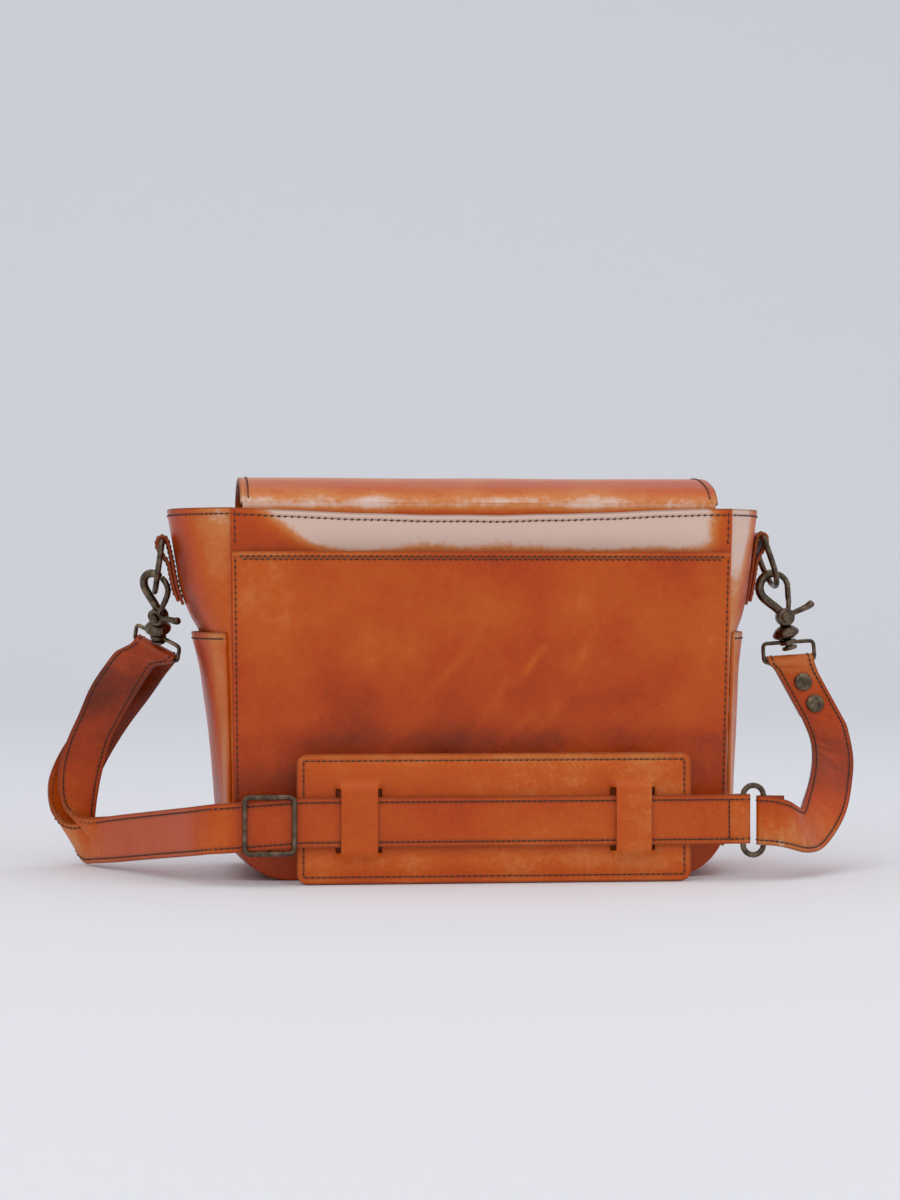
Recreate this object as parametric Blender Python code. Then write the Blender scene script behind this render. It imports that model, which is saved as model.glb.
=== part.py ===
"""Leather camera bag with a slotted shoulder pad.

Frame: the origin is the middle of the underside of the base. -Y is the back face with the slip pocket,
+Y the front that the flap closes over, +X runs along the bag and +Z is up.
Lengths are written in millimetres, with y measured from the back face; placed() moves a point into the
frame and scales it to metres when a mesh is made.
"""

import math

import bmesh
import bpy
from mathutils import Vector
from mathutils.geometry import tessellate_polygon

MM = 0.001
GAP = 0.3                    # between pieces that touch

# Body of the bag
DEPTH = 120.0                # back face to front face
RIM = 229.0                  # height of the mouth
SEAM_TOP = (-155.0, 157.5)   # side seams of the panels at the rim, left and right
SEAM_LOW = 153.0             # the same seams at the foot, from the middle
CORNER = 34.0                # radius of the lower corners of the panels
PANEL = 2.5                  # leather of the panels
WALL = 2.4                   # leather of the gussets and the base
POCKET = 2.0                 # leather of the pockets
BASE_HALF = SEAM_LOW - 37.0  # half the length of the base panel, clear of the turned-in gussets
GUSSET_TABLE = {
    -1: ((RIM, 39.0), (209, 36.0), (180, 31.5), (160, 24.0), (152, 17.5), (130, 12.5), (96, 8.5), (45, 6.5),
         (CORNER, 6.5)),
    1: ((RIM, 26.5), (209, 24.0), (180, 20.5), (160, 16.5), (152, 11.5), (130, 8.5), (96, 7.5), (45, 8.0),
        (CORNER, 8.0)),
}
POCKET_TABLE = {
    -1: ((152, 26.5), (130, 21.5), (96, 17.0), (45, 12.5), (CORNER, 12.0)),
    1: ((152, 20.0), (130, 17.5), (96, 17.0), (45, 16.0), (CORNER, 15.5)),
}
SIDE_POCKET_TOP = 152.0
BACK_POCKET_TOP = 202.0
BACK_POCKET_BULGE = 5.6      # how far the slip pocket stands off its panel
FACING_LOW = 207.0           # lower edge of the facing inside the mouth
FACING = 1.5

# Flap
FLAP_HALF = 149.0
FLAP = 2.6
FLAP_ARCH = ((3.6, 232.2), (6.5, 236.5), (15, 241.0), (38, 246.6), (DEPTH - 58, 248.8), (DEPTH - 32, 247.4),
             (DEPTH - 12, 243.0), (DEPTH, 237.6), (DEPTH + 4.6, 233.6))
FLAP_FRONT_Y = DEPTH + 5.5   # hangs clear of the front panel and the snaps on it
FLAP_FRONT_TOP = 230.6
FLAP_FRONT_LOW = 75.0
FLAP_CORNER = 35.0

# Closure on the flap
CLOSURE_X = 78.0
CLOSURE_HALF = 11.0
CLOSURE_TOP = 160.0
CLOSURE_LOW = 42.0
CLOSURE = 2.6
SNAP_Z = 53.0
BUCKLE_TOP = 108.0
BUCKLE_LOW = 86.0
BUCKLE_WIRE = 1.3
PRONG = 0.9
PRONG_TIP = 0.6
CHAPE = 1.6

# Padded insert
FOAM = 7.0
INSERT_HALF = SEAM_LOW - 14.5
INSERT_BASE_HALF = INSERT_HALF - 16.5   # inside the rounded corners of the bag
INSERT_FLOOR = WALL + 0.6
INSERT_TOP = 190.0
DIVIDER_X = 46.0
DIVIDER_TOP = 175.0

# D-rings and their tabs
RING_Y = 60.0                # middle of the bag's depth
D_WIRE = 2.0
D_ARC = 17.0
D_BAR = {-1: (-196.6, 209.0), 1: (186.8, 212.0)}
D_FOOT = {-1: (-201.0, 177.3), 1: (197.9, 181.0)}
TAB_HALF = 14.0
TAB = 2.0
TAB_LOW = 169.0

# Scissor hooks: the middle of the eye, the way up the hook and the way across it
EYE_HIGH = 36.6              # eye above the bail's top bar
EYE_R = 9.35
HOOK_ROD = 2.5
PIVOT = (1.9, 16.3)
PIN_R = 1.5
EYE = {-1: (-200.5, 60.0, 180.5), 1: (197.0, 60.0, 180.0)}
HOOK_UP = {-1: (-0.04, -0.52, 0.853), 1: (-0.263, 0.0, 0.965)}
HOOK_ACROSS = {-1: (0.82, -0.48, -0.30), 1: (0.965, 0.0, 0.263)}
BAIL_LEAN = math.radians(11.5)
BAIL_HALF = 16.7
BAIL_DROP = 12.5
BAIL_WIRE = 1.4
BAIL_SLACK = 0.8             # between a bail's wire and the strap round it

# Strap
STRAP = 30.0
STRAP_THICK = 2.8
STRAP_Y = -34.0              # the run in front of the back panel
STRAP_Z = 38.0
STRAP_BACK = STRAP_THICK + 0.6   # from one layer of a doubled strap to the next
LOOP_THICK = 2.2
BAIL_TURN = BAIL_WIRE + BAIL_SLACK + STRAP_THICK / 2

# Slider and oval ring
SLIDER_X = -132.6
SLIDER_Z = 36.6
SLIDER_HALF = (14.9, 17.0)
SLIDER_WIRE = 1.7
RING_X = 164.0
RING_Z = 37.0
OVAL_HALF = (6.4, 21.4)
OVAL_WIRE = 1.85

# Shoulder pad
PAD_X = (-116.0, 125.0)
PAD_Z = (0.5, 79.0)
PAD_CORNER = 6.5
PAD_FACE = 2.2
PAD_BACK = 2.8
BRIDGES = ((-91.0, -66.0), (76.5, 101.0))
SLOT = 2.6                   # width of a slot
SLOT_Z = (20.5, 57.0)
BRIDGE_LIFT = 6.0


def material(name, colour, roughness, metallic):
    made = bpy.data.materials.new(name)
    made.use_nodes = True
    shader = made.node_tree.nodes["Principled BSDF"]
    shader.inputs["Base Color"].default_value = (*colour, 1.0)
    shader.inputs["Roughness"].default_value = roughness
    shader.inputs["Metallic"].default_value = metallic
    made.diffuse_color = (*colour, 1.0)
    return made


HOME = Vector((0, -DEPTH / 2, 0))


def placed(point):
    return (Vector(point) + HOME) * MM


for old in list(bpy.data.objects):
    bpy.data.objects.remove(old)

TAN = material("tan leather", (0.48, 0.17, 0.045), 0.42, 0.0)
LIGHT_TAN = material("light tan leather", (0.56, 0.24, 0.08), 0.45, 0.0)
BRASS = material("antique brass", (0.22, 0.16, 0.09), 0.35, 1.0)
FOAM_CLOTH = material("insert cloth", (0.20, 0.14, 0.09), 0.9, 0.0)


def put(name, mesh, finish, smooth=False):
    """Makes the object of a finished bmesh, with its faces turned out."""
    bmesh.ops.recalc_face_normals(mesh, faces=mesh.faces)
    data = bpy.data.meshes.new(name)
    mesh.to_mesh(data)
    mesh.free()
    data.materials.append(finish)
    if smooth:
        data.shade_smooth()
        data.set_sharp_from_angle(angle=math.radians(40))
    made = bpy.data.objects.new(name, data)
    bpy.context.scene.collection.objects.link(made)
    return made


def loft(rings, closed=False):
    """Joins rings of points, given in millimetres, into one closed skin."""
    mesh = bmesh.new()
    rows = [[mesh.verts.new(placed(point)) for point in ring] for ring in rings]
    count = len(rows[0])
    pairs = list(zip(rows, rows[1:]))
    if closed:
        pairs.append((rows[-1], rows[0]))
    for lower, upper in pairs:
        for i in range(count):
            j = (i + 1) % count
            mesh.faces.new((lower[i], lower[j], upper[j], upper[i]))
    if not closed:
        mesh.faces.new(list(reversed(rows[0])))
        mesh.faces.new(rows[-1])
    return mesh


def tube(path, radius, sides=10, closed=False):
    """A round rod along a path. The radius is one number or one for each point."""
    points = [Vector(point) for point in path]
    count = len(points)
    radii = radius if isinstance(radius, (list, tuple)) else [radius] * count
    rings = []
    side = None
    for i, point in enumerate(points):
        ahead = points[(i + 1) % count] if closed or i + 1 < count else point
        behind = points[i - 1] if closed or i else point
        along = (ahead - behind).normalized()
        if side is None:
            side = along.orthogonal().normalized()
        side = (side - along * side.dot(along)).normalized()
        other = along.cross(side)
        turn = [2 * math.pi * k / sides for k in range(sides)]
        rings.append([point + (side * math.cos(a) + other * math.sin(a)) * radii[i] for a in turn])
    return loft(rings, closed)


def lathe(profile, base, up, sides=16):
    """Turns a profile of (radius, height) about the line from base along up."""
    up = Vector(up).normalized()
    side = up.orthogonal().normalized()
    other = up.cross(side)
    turn = [2 * math.pi * k / sides for k in range(sides)]
    rings = []
    for radius, height in profile:
        middle = Vector(base) + up * height
        rings.append([middle + (side * math.cos(a) + other * math.sin(a)) * radius for a in turn])
    return loft(rings)


def prism(outline, y0, y1, holes=()):
    """A plate between two depths, with an outline and holes given as (x, z)."""
    loops = [list(outline)] + [list(hole) for hole in holes]
    flat = [point for loop_points in loops for point in loop_points]
    faces = tessellate_polygon([[Vector((x, z, 0)) for x, z in loop_points] for loop_points in loops])
    mesh = bmesh.new()
    near = [mesh.verts.new(placed((x, y0, z))) for x, z in flat]
    far = [mesh.verts.new(placed((x, y1, z))) for x, z in flat]
    for face in faces:
        mesh.faces.new([near[i] for i in face])
        mesh.faces.new([far[i] for i in reversed(face)])
    start = 0
    for loop_points in loops:
        count = len(loop_points)
        for i in range(count):
            a, b = start + i, start + (i + 1) % count
            mesh.faces.new((near[a], near[b], far[b], far[a]))
        start += count
    return mesh


def box(x, y, z, soften=0.0):
    """A block between pairs of x, y and z, with its edges rounded by soften."""
    corners = [placed((x[i], y[j], z[k])) for i in (0, 1) for j in (0, 1) for k in (0, 1)]
    mesh = bmesh.new()
    verts = [mesh.verts.new(corner) for corner in corners]
    for face in ((0, 1, 3, 2), (4, 6, 7, 5), (0, 4, 5, 1), (2, 3, 7, 6), (0, 2, 6, 4), (1, 5, 7, 3)):
        mesh.faces.new([verts[i] for i in face])
    if soften:
        bmesh.ops.bevel(mesh, geom=mesh.edges[:], offset=soften * MM, segments=2, affect="EDGES")
    return mesh


def smooth_run(stations, steps=2):
    """Catmull-Rom points through stations, which are pairs of edge points."""
    points = vectors(stations)
    run = []
    last = len(points) - 1
    for i in range(last):
        four = [points[max(i - 1, 0)], points[i], points[i + 1], points[min(i + 2, last)]]
        for step in range(steps):
            t = step / steps
            edge = []
            for side in (0, 1):
                p0, p1, p2, p3 = (pair[side] for pair in four)
                edge.append(0.5 * ((2 * p1) + (p2 - p0) * t + (2 * p0 - 5 * p1 + 4 * p2 - p3) * t ** 2
                                   + (3 * p1 - p0 - 3 * p2 + p3) * t ** 3))
            run.append(tuple(edge))
    run.append(points[-1])
    return run


def ribbon(stations, thickness):
    """A flat strip whose two edges pass through the stations."""
    points = vectors(stations)
    rings = []
    for i, (a, b) in enumerate(points):
        ahead = sum(points[min(i + 1, len(points) - 1)], Vector())
        behind = sum(points[max(i - 1, 0)], Vector())
        across = (a - b).normalized()
        off = (ahead - behind).cross(across).normalized() * thickness / 2
        rings.append([a + off, b + off, b - off, a - off])
    return loft(rings)


def wrap(middle, across, out, radius, half, first=-90.0, last=90.0, turns=8):
    """Stations of a strip that goes round a bar. Its angle is 0 at out and grows towards out x across."""
    middle, across, out = Vector(middle), Vector(across).normalized(), Vector(out).normalized()
    out = (out - across * out.dot(across)).normalized()
    side = out.cross(across)
    found = []
    for k in range(turns + 1):
        a = math.radians(first + (last - first) * k / turns)
        place = middle + (side * math.sin(a) + out * math.cos(a)) * radius
        found.append((place + across * half, place - across * half))
    return found


def join(target, tool, operation):
    """Adds or cuts one object with another that stays as a hidden tool."""
    tool.hide_render = True
    tool.display_type = "WIRE"
    change = target.modifiers.new(operation.lower(), "BOOLEAN")
    change.operation = operation
    change.object = tool
    change.solver = "EXACT"


# ---- body ----

def seam_x(side, z):
    """Where the panel's side seam runs at a height."""
    top = SEAM_TOP[0] if side < 0 else SEAM_TOP[1]
    low = side * SEAM_LOW
    share = min(max((z - CORNER) / (RIM - CORNER), 0.0), 1.0)
    return low + (top - low) * share


def table_at(table, z):
    """Reads a table of (height, value) that runs downwards."""
    if z >= table[0][0]:
        return table[0][1]
    for (z1, v1), (z0, v0) in zip(table, table[1:]):
        if z >= z0:
            return v0 + (v1 - v0) * (z - z0) / (z1 - z0)
    return table[-1][1]


def bulge(share):
    """How far a gusset stands out across its depth, from 0 at the seams to 1 between them."""
    return (1 - abs(2 * share - 1) ** 2.4) ** 0.8


def gusset_point(side, table, place, share, inset):
    """A point of a gusset's outer skin, moved in by inset. place is (height, turn of the corner)."""
    z, turn = place
    standing = table_at(table, z) * bulge(share)
    y = PANEL + GAP + (DEPTH - 2 * (PANEL + GAP)) * share
    if turn is None:
        return Vector((seam_x(side, z) + side * (standing - inset), y, z))
    heart = SEAM_LOW - CORNER
    wide = CORNER + standing - inset
    high = CORNER - inset
    return Vector((side * (heart + wide * math.cos(turn)), y, CORNER - high * math.sin(turn)))


def gusset_places(top, low_turn):
    """Heights down the wall, then turns round the corner."""
    levels = [z for z in (RIM, 209, 190, 170, 160, 152, 130, 96, 60) if z < top]
    places = [(top, None)] + [(z, None) for z in levels]
    steps = 7
    places += [(CORNER, low_turn * k / steps) for k in range(steps + 1)]
    return places


def shell(grid_out, grid_in):
    """A closed skin from two grids of points of the same size."""
    mesh = bmesh.new()
    rows, columns = len(grid_out), len(grid_out[0])
    out = [[mesh.verts.new(placed(p)) for p in row] for row in grid_out]
    inn = [[mesh.verts.new(placed(p)) for p in row] for row in grid_in]
    for i in range(rows - 1):
        for j in range(columns - 1):
            mesh.faces.new((out[i][j], out[i][j + 1], out[i + 1][j + 1], out[i + 1][j]))
            mesh.faces.new((inn[i][j], inn[i + 1][j], inn[i + 1][j + 1], inn[i][j + 1]))
    rim = [(0, j) for j in range(columns)] + [(i, columns - 1) for i in range(1, rows)]
    rim += [(rows - 1, j) for j in range(columns - 2, -1, -1)] + [(i, 0) for i in range(rows - 2, 0, -1)]
    for (i0, j0), (i1, j1) in zip(rim, rim[1:] + rim[:1]):
        mesh.faces.new((out[i0][j0], inn[i0][j0], inn[i1][j1], out[i1][j1]))
    return mesh


def panel_outline(top, inset=0.0):
    """The rounded outline of the back and front panels as (x, z)."""
    right = [(seam_x(1, top) - inset, top), (SEAM_LOW - inset, CORNER)]
    left = [(-SEAM_LOW + inset, CORNER), (seam_x(-1, top) + inset, top)]
    heart = SEAM_LOW - CORNER
    radius = CORNER - inset
    turns = [math.radians(15 * k) for k in range(1, 7)]
    foot = [(heart + radius * math.cos(a), CORNER - radius * math.sin(a)) for a in turns]
    return right + foot + [(-x, z) for x, z in reversed(foot)] + left


def build_body():
    put("back_panel", prism(panel_outline(RIM), 0, PANEL), TAN)
    put("front_panel", prism(panel_outline(RIM), DEPTH - PANEL, DEPTH), TAN)
    shares = [0, 0.03, 0.08, 0.16, 0.28, 0.4, 0.5, 0.6, 0.72, 0.84, 0.92, 0.97, 1]
    for side, word in ((-1, "left"), (1, "right")):
        places = gusset_places(RIM, math.pi / 2)
        grids = []
        for inset in (0, WALL):
            grid = []
            for place in places:
                grid.append([gusset_point(side, GUSSET_TABLE[side], place, s, inset) for s in shares])
            last = [point.copy() for point in grid[-1]]
            for point in last:
                point.x = side * (BASE_HALF + GAP / 2)
            grids.append(grid + [last])
        put("gusset_" + word, shell(*grids), TAN, smooth=True)
        inner = [0.05, 0.12, 0.2, 0.3, 0.4, 0.5, 0.6, 0.7, 0.8, 0.88, 0.95]
        places = gusset_places(SIDE_POCKET_TOP, math.radians(28))
        grids = []
        for inset in (0, POCKET):
            grid = []
            for place in places:
                row = []
                for s in inner:
                    point = gusset_point(side, POCKET_TABLE[side], place, s, inset)
                    wall = gusset_point(side, GUSSET_TABLE[side], place, s, 0)
                    least = abs(wall.x) + GAP + POCKET - inset
                    edge = min(s - inner[0], inner[-1] - s) / 0.07
                    foot = (place[1] or 0) / math.radians(28)
                    share = min(edge, 1.0) * (1 - foot)
                    point.x = side * (least + (max(abs(point.x), least) - least) * share)
                    point.z = wall.z
                    row.append(point)
                grid.append(row)
            grids.append(grid)
        put("side_pocket_" + word, shell(*grids), TAN, smooth=True)
    put("base_panel", box((-BASE_HALF + GAP / 2, BASE_HALF - GAP / 2), (PANEL + GAP, DEPTH - PANEL - GAP),
                          (0, WALL)), TAN)
    build_back_pocket()
    build_facing()
    put("flap_spine", box((-FLAP_HALF + 1, FLAP_HALF - 1), (PANEL + GAP, PANEL + GAP + 1.8),
                          (205, RIM + 0.8)), TAN)


def build_back_pocket():
    columns = [k / 14 for k in range(15)]
    rows = [BACK_POCKET_TOP, 190, 170, 145, 118, 90, 65, 45, 34, 26, 18, 11, 5]
    outer, inner = [], []
    for z in rows:
        drop = max(CORNER - z, 0.0)
        shrink = CORNER - math.sqrt(max(CORNER ** 2 - drop ** 2, 0.0))
        left = seam_x(-1, z) + shrink + 3
        right = seam_x(1, z) - shrink - 3
        rise = min(max((z - 5) / 55, 0.0), 1.0)
        rise = rise * rise * (3 - 2 * rise)
        row_out, row_in = [], []
        for u in columns:
            x = left + (right - left) * u
            off = GAP + BACK_POCKET_BULGE * (1 - abs(2 * u - 1) ** 5) * rise
            row_out.append((x, -off - POCKET, z))
            row_in.append((x, -off, z))
        outer.append(row_out)
        inner.append(row_in)
    put("back_pocket", shell(outer, inner), TAN, smooth=True)


def build_facing():
    """A band round the inside of the mouth."""
    back = PANEL + 2 * GAP + 1.8
    front = DEPTH - PANEL - 0.4
    shares = [0.08, 0.16, 0.28, 0.4, 0.5, 0.6, 0.72, 0.84, 0.92]
    top, low = RIM - 0.5, FACING_LOW

    def section(side, share):
        inset = WALL + 0.5
        up = gusset_point(side, GUSSET_TABLE[side], (top, None), share, inset)
        down = gusset_point(side, GUSSET_TABLE[side], (low, None), share, inset)
        off = Vector((side * FACING, 0, 0))
        return [down, up, up - off, down - off]

    def flat(x, y, inward):
        return [(x, y, low), (x, y, top), (x, y + inward, top), (x, y + inward, low)]

    rings = [flat(x, back, FACING) for x in (148, 0, -148)]
    rings += [section(-1, s) for s in shares]
    rings += [flat(x, front, -FACING) for x in (-148, 0, 148)]
    rings += [section(1, s) for s in reversed(shares)]
    put("rim_facing", loft(rings, closed=True), TAN)


# ---- flap and closure ----

def build_flap():
    rows = [((-FLAP_HALF, y, z), (FLAP_HALF, y, z)) for y, z in FLAP_ARCH]
    put("flap_top", ribbon(smooth_run(rows), FLAP), TAN, smooth=True)
    half = FLAP / 2
    turns = [math.radians(15 * k) for k in range(7)]
    heart_x, heart_z = FLAP_HALF - FLAP_CORNER, FLAP_FRONT_LOW + FLAP_CORNER
    foot = [(heart_x + FLAP_CORNER * math.cos(a), heart_z - FLAP_CORNER * math.sin(a)) for a in turns]
    outline = [(FLAP_HALF, FLAP_FRONT_TOP)] + foot + [(-x, z) for x, z in reversed(foot)]
    outline.append((-FLAP_HALF, FLAP_FRONT_TOP))
    put("flap_front", prism(outline, FLAP_FRONT_Y - half, FLAP_FRONT_Y + half), TAN)
    for side, word in ((-1, "left"), (1, "right")):
        build_closure(side * CLOSURE_X, word)


def build_closure(x, word):
    face = FLAP_FRONT_Y + FLAP / 2 + GAP
    out = face + CLOSURE
    turns = [math.radians(30 * k) for k in range(7)]
    foot = [(x + CLOSURE_HALF * math.cos(a), CLOSURE_LOW + CLOSURE_HALF * (1 - math.sin(a))) for a in turns]
    outline = [(x + CLOSURE_HALF, CLOSURE_TOP)] + foot + [(x - CLOSURE_HALF, CLOSURE_TOP)]
    put("closure_strap_" + word, prism(outline, face, out), TAN)
    # the stud hangs from the back of the strap and enters the socket on the front panel
    panel = DEPTH
    stud = [(2.6, 1.0), (2.6, 2.7), (6.5, 2.8), (6.5, face - GAP - panel)]
    put("snap_stud_" + word, lathe(stud, (x, panel, SNAP_Z), (0, 1, 0)), BRASS, smooth=True)
    turn = [2 * math.pi * k / 16 for k in range(16)]
    rings = []
    for radius, y in ((4.2, GAP), (7.2, GAP), (7.2, 1.8), (6.0, 2.3), (4.2, 2.3)):
        rings.append([(x + radius * math.cos(a), panel + y, SNAP_Z + radius * math.sin(a)) for a in turn])
    put("snap_socket_" + word, loft(rings, closed=True), BRASS, smooth=True)
    # the buckle frame stands in front of the strap and hangs from a folded chape
    bar_y = out + GAP + 1.8 + GAP + BUCKLE_WIRE
    wide = CLOSURE_HALF + 2.6
    frame = [(x - wide, bar_y, BUCKLE_LOW), (x + wide, bar_y, BUCKLE_LOW), (x + wide, bar_y, BUCKLE_TOP),
             (x - wide, bar_y, BUCKLE_TOP)]
    put("buckle_" + word, tube(rounded(frame, 3.0), BUCKLE_WIRE, 8, closed=True), BRASS, smooth=True)
    top = (x, bar_y, BUCKLE_TOP)
    radius = BUCKLE_WIRE + GAP + CHAPE / 2
    fold = wrap(top, (1, 0, 0), (0, 0, -1), radius, 8.0)
    stem = BUCKLE_TOP + 16
    near = out + GAP + CHAPE / 2
    far = near + CHAPE + 0.4

    def row(y, z):
        return ((x + 8, y, z), (x - 8, y, z))

    ends = [row(near, stem), row(near, BUCKLE_TOP + 6)]
    outs = [row(far, BUCKLE_TOP + 8), row(far, stem)]
    if fold[0][0].y > fold[-1][0].y:
        fold.reverse()
    chape = put("buckle_chape_" + word, ribbon(ends + fold + outs, CHAPE), TAN)
    notch = put("notch_tool_" + word, box((x - 3, x + 3), (out + GAP / 2, out + 12),
                                          (BUCKLE_TOP - 8, BUCKLE_TOP + 5)), TAN)
    join(chape, notch, "DIFFERENCE")
    # the prong is a ring round the bar with a pointed tongue over the lower bar
    ring = BUCKLE_WIRE + GAP + PRONG
    tongue_y = bar_y + ring + 0.1
    path = [(x, tongue_y, BUCKLE_LOW - 3), (x, tongue_y, BUCKLE_TOP - 4)]
    for a in (-10, 20, 50, 80, 110, 140, 170, 200, 225):
        turn = math.radians(a)
        path.append((x, bar_y + ring * math.cos(turn), BUCKLE_TOP + ring * math.sin(turn)))
    radii = [PRONG_TIP] + [PRONG] * (len(path) - 1)
    put("prong_" + word, tube(path, radii, 8), BRASS, smooth=True)


def rounded(corners, radius, steps=3):
    """A closed path whose corners are rounded."""
    points = [Vector(corner) for corner in corners]
    path = []
    for i, point in enumerate(points):
        to_last = (points[i - 1] - point).normalized() * radius
        to_next = (points[(i + 1) % len(points)] - point).normalized() * radius
        heart = point + to_last + to_next
        for k in range(steps + 1):
            a = math.pi / 2 * k / steps
            path.append(heart - to_next * math.cos(a) - to_last * math.sin(a))
    return path


# ---- insert ----

def build_insert():
    low = INSERT_FLOOR + FOAM + GAP
    back = 6.9
    front = DEPTH - 5.0
    wall = INSERT_HALF - FOAM - GAP
    put("insert_base", box((-INSERT_BASE_HALF, INSERT_BASE_HALF), (back, front),
                           (INSERT_FLOOR, INSERT_FLOOR + FOAM), 1), FOAM_CLOTH)
    put("insert_left", box((-INSERT_HALF, -INSERT_HALF + FOAM), (back, front), (low + 0.3, INSERT_TOP), 1.5),
        FOAM_CLOTH)
    put("insert_right", box((INSERT_HALF - FOAM, INSERT_HALF), (back, front), (low + 0.3, INSERT_TOP), 1.5),
        FOAM_CLOTH)
    put("insert_back", box((-wall, wall), (back, back + FOAM), (low, INSERT_TOP), 1.5), FOAM_CLOTH)
    put("insert_front", box((-wall, wall), (front - FOAM, front), (low, INSERT_TOP), 1.5), FOAM_CLOTH)
    for side, word in ((-1, "left"), (1, "right")):
        x = side * DIVIDER_X
        put("divider_" + word, box((x - FOAM / 2, x + FOAM / 2), (back + FOAM + 0.4, front - FOAM - 0.4),
                                   (low, DIVIDER_TOP), 1.5), FOAM_CLOTH)


# ---- D-rings, hooks and bails ----

def build_ring(side, word):
    bar_x, bar_z = D_BAR[side]
    foot_x, foot_z = D_FOOT[side]
    down = Vector((foot_x - bar_x, 0, foot_z - bar_z))
    drop = down.length - D_ARC
    down.normalize()
    bar = Vector((bar_x, RING_Y, bar_z))
    deep = Vector((0, 1, 0))
    corner = 2.5
    path = [bar - deep * (D_ARC - corner), bar, bar + deep * (D_ARC - corner)]
    path.append(bar + deep * (D_ARC - 0.6) + down * 0.8)
    path.append(bar + deep * D_ARC + down * corner)
    heart = bar + down * drop
    for k in range(13):
        a = math.pi * k / 12
        path.append(heart + deep * (D_ARC * math.cos(a)) + down * (D_ARC * math.sin(a)))
    path.append(bar - deep * D_ARC + down * corner)
    path.append(bar - deep * (D_ARC - 0.6) + down * 0.8)
    put("d_ring_" + word, tube(path, D_WIRE, 10, closed=True), BRASS, smooth=True)

    # the tab goes up the gusset, over the bar and down again outside it
    def row(x, z):
        return ((x, RING_Y - TAB_HALF, z), (x, RING_Y + TAB_HALF, z))

    def skin(z):
        return abs(seam_x(side, z)) + table_at(GUSSET_TABLE[side], z) + 0.6 + TAB / 2

    radius = D_WIRE + GAP + TAB / 2
    over = []
    for k in range(9):
        a = math.pi * k / 8
        over.append(row(bar_x - side * radius * math.cos(a), bar_z + radius * math.sin(a)))
    inner = [row(side * skin(z), z) for z in (TAB_LOW, 178, 188, bar_z - 12)]
    outer = [row(bar_x + side * radius, bar_z - 4)]
    outer += [row(side * (skin(z) + TAB + GAP), z) for z in (bar_z - 14, 188, 178, TAB_LOW + 2)]
    put("ring_tab_" + word, ribbon(inner + over + outer, TAB), TAN, smooth=True)


class Hook:
    """Turns places on a scissor hook, as (across, out, up), into places in the bag's frame."""

    def __init__(self, side):
        self.up = Vector(HOOK_UP[side]).normalized()
        across = Vector(HOOK_ACROSS[side])
        self.across = (across - self.up * across.dot(self.up)).normalized()
        self.out = self.across.cross(self.up)
        self.base = Vector(EYE[side]) - self.up * EYE_HIGH
        self.bail_across = self.across * math.cos(BAIL_LEAN) - self.up * math.sin(BAIL_LEAN)
        self.bail_up = self.up * math.cos(BAIL_LEAN) + self.across * math.sin(BAIL_LEAN)
        self.bail_foot = self.base - self.bail_up * BAIL_DROP

    def at(self, across, out, up):
        return self.base + self.across * across + self.out * out + self.up * up


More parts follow.
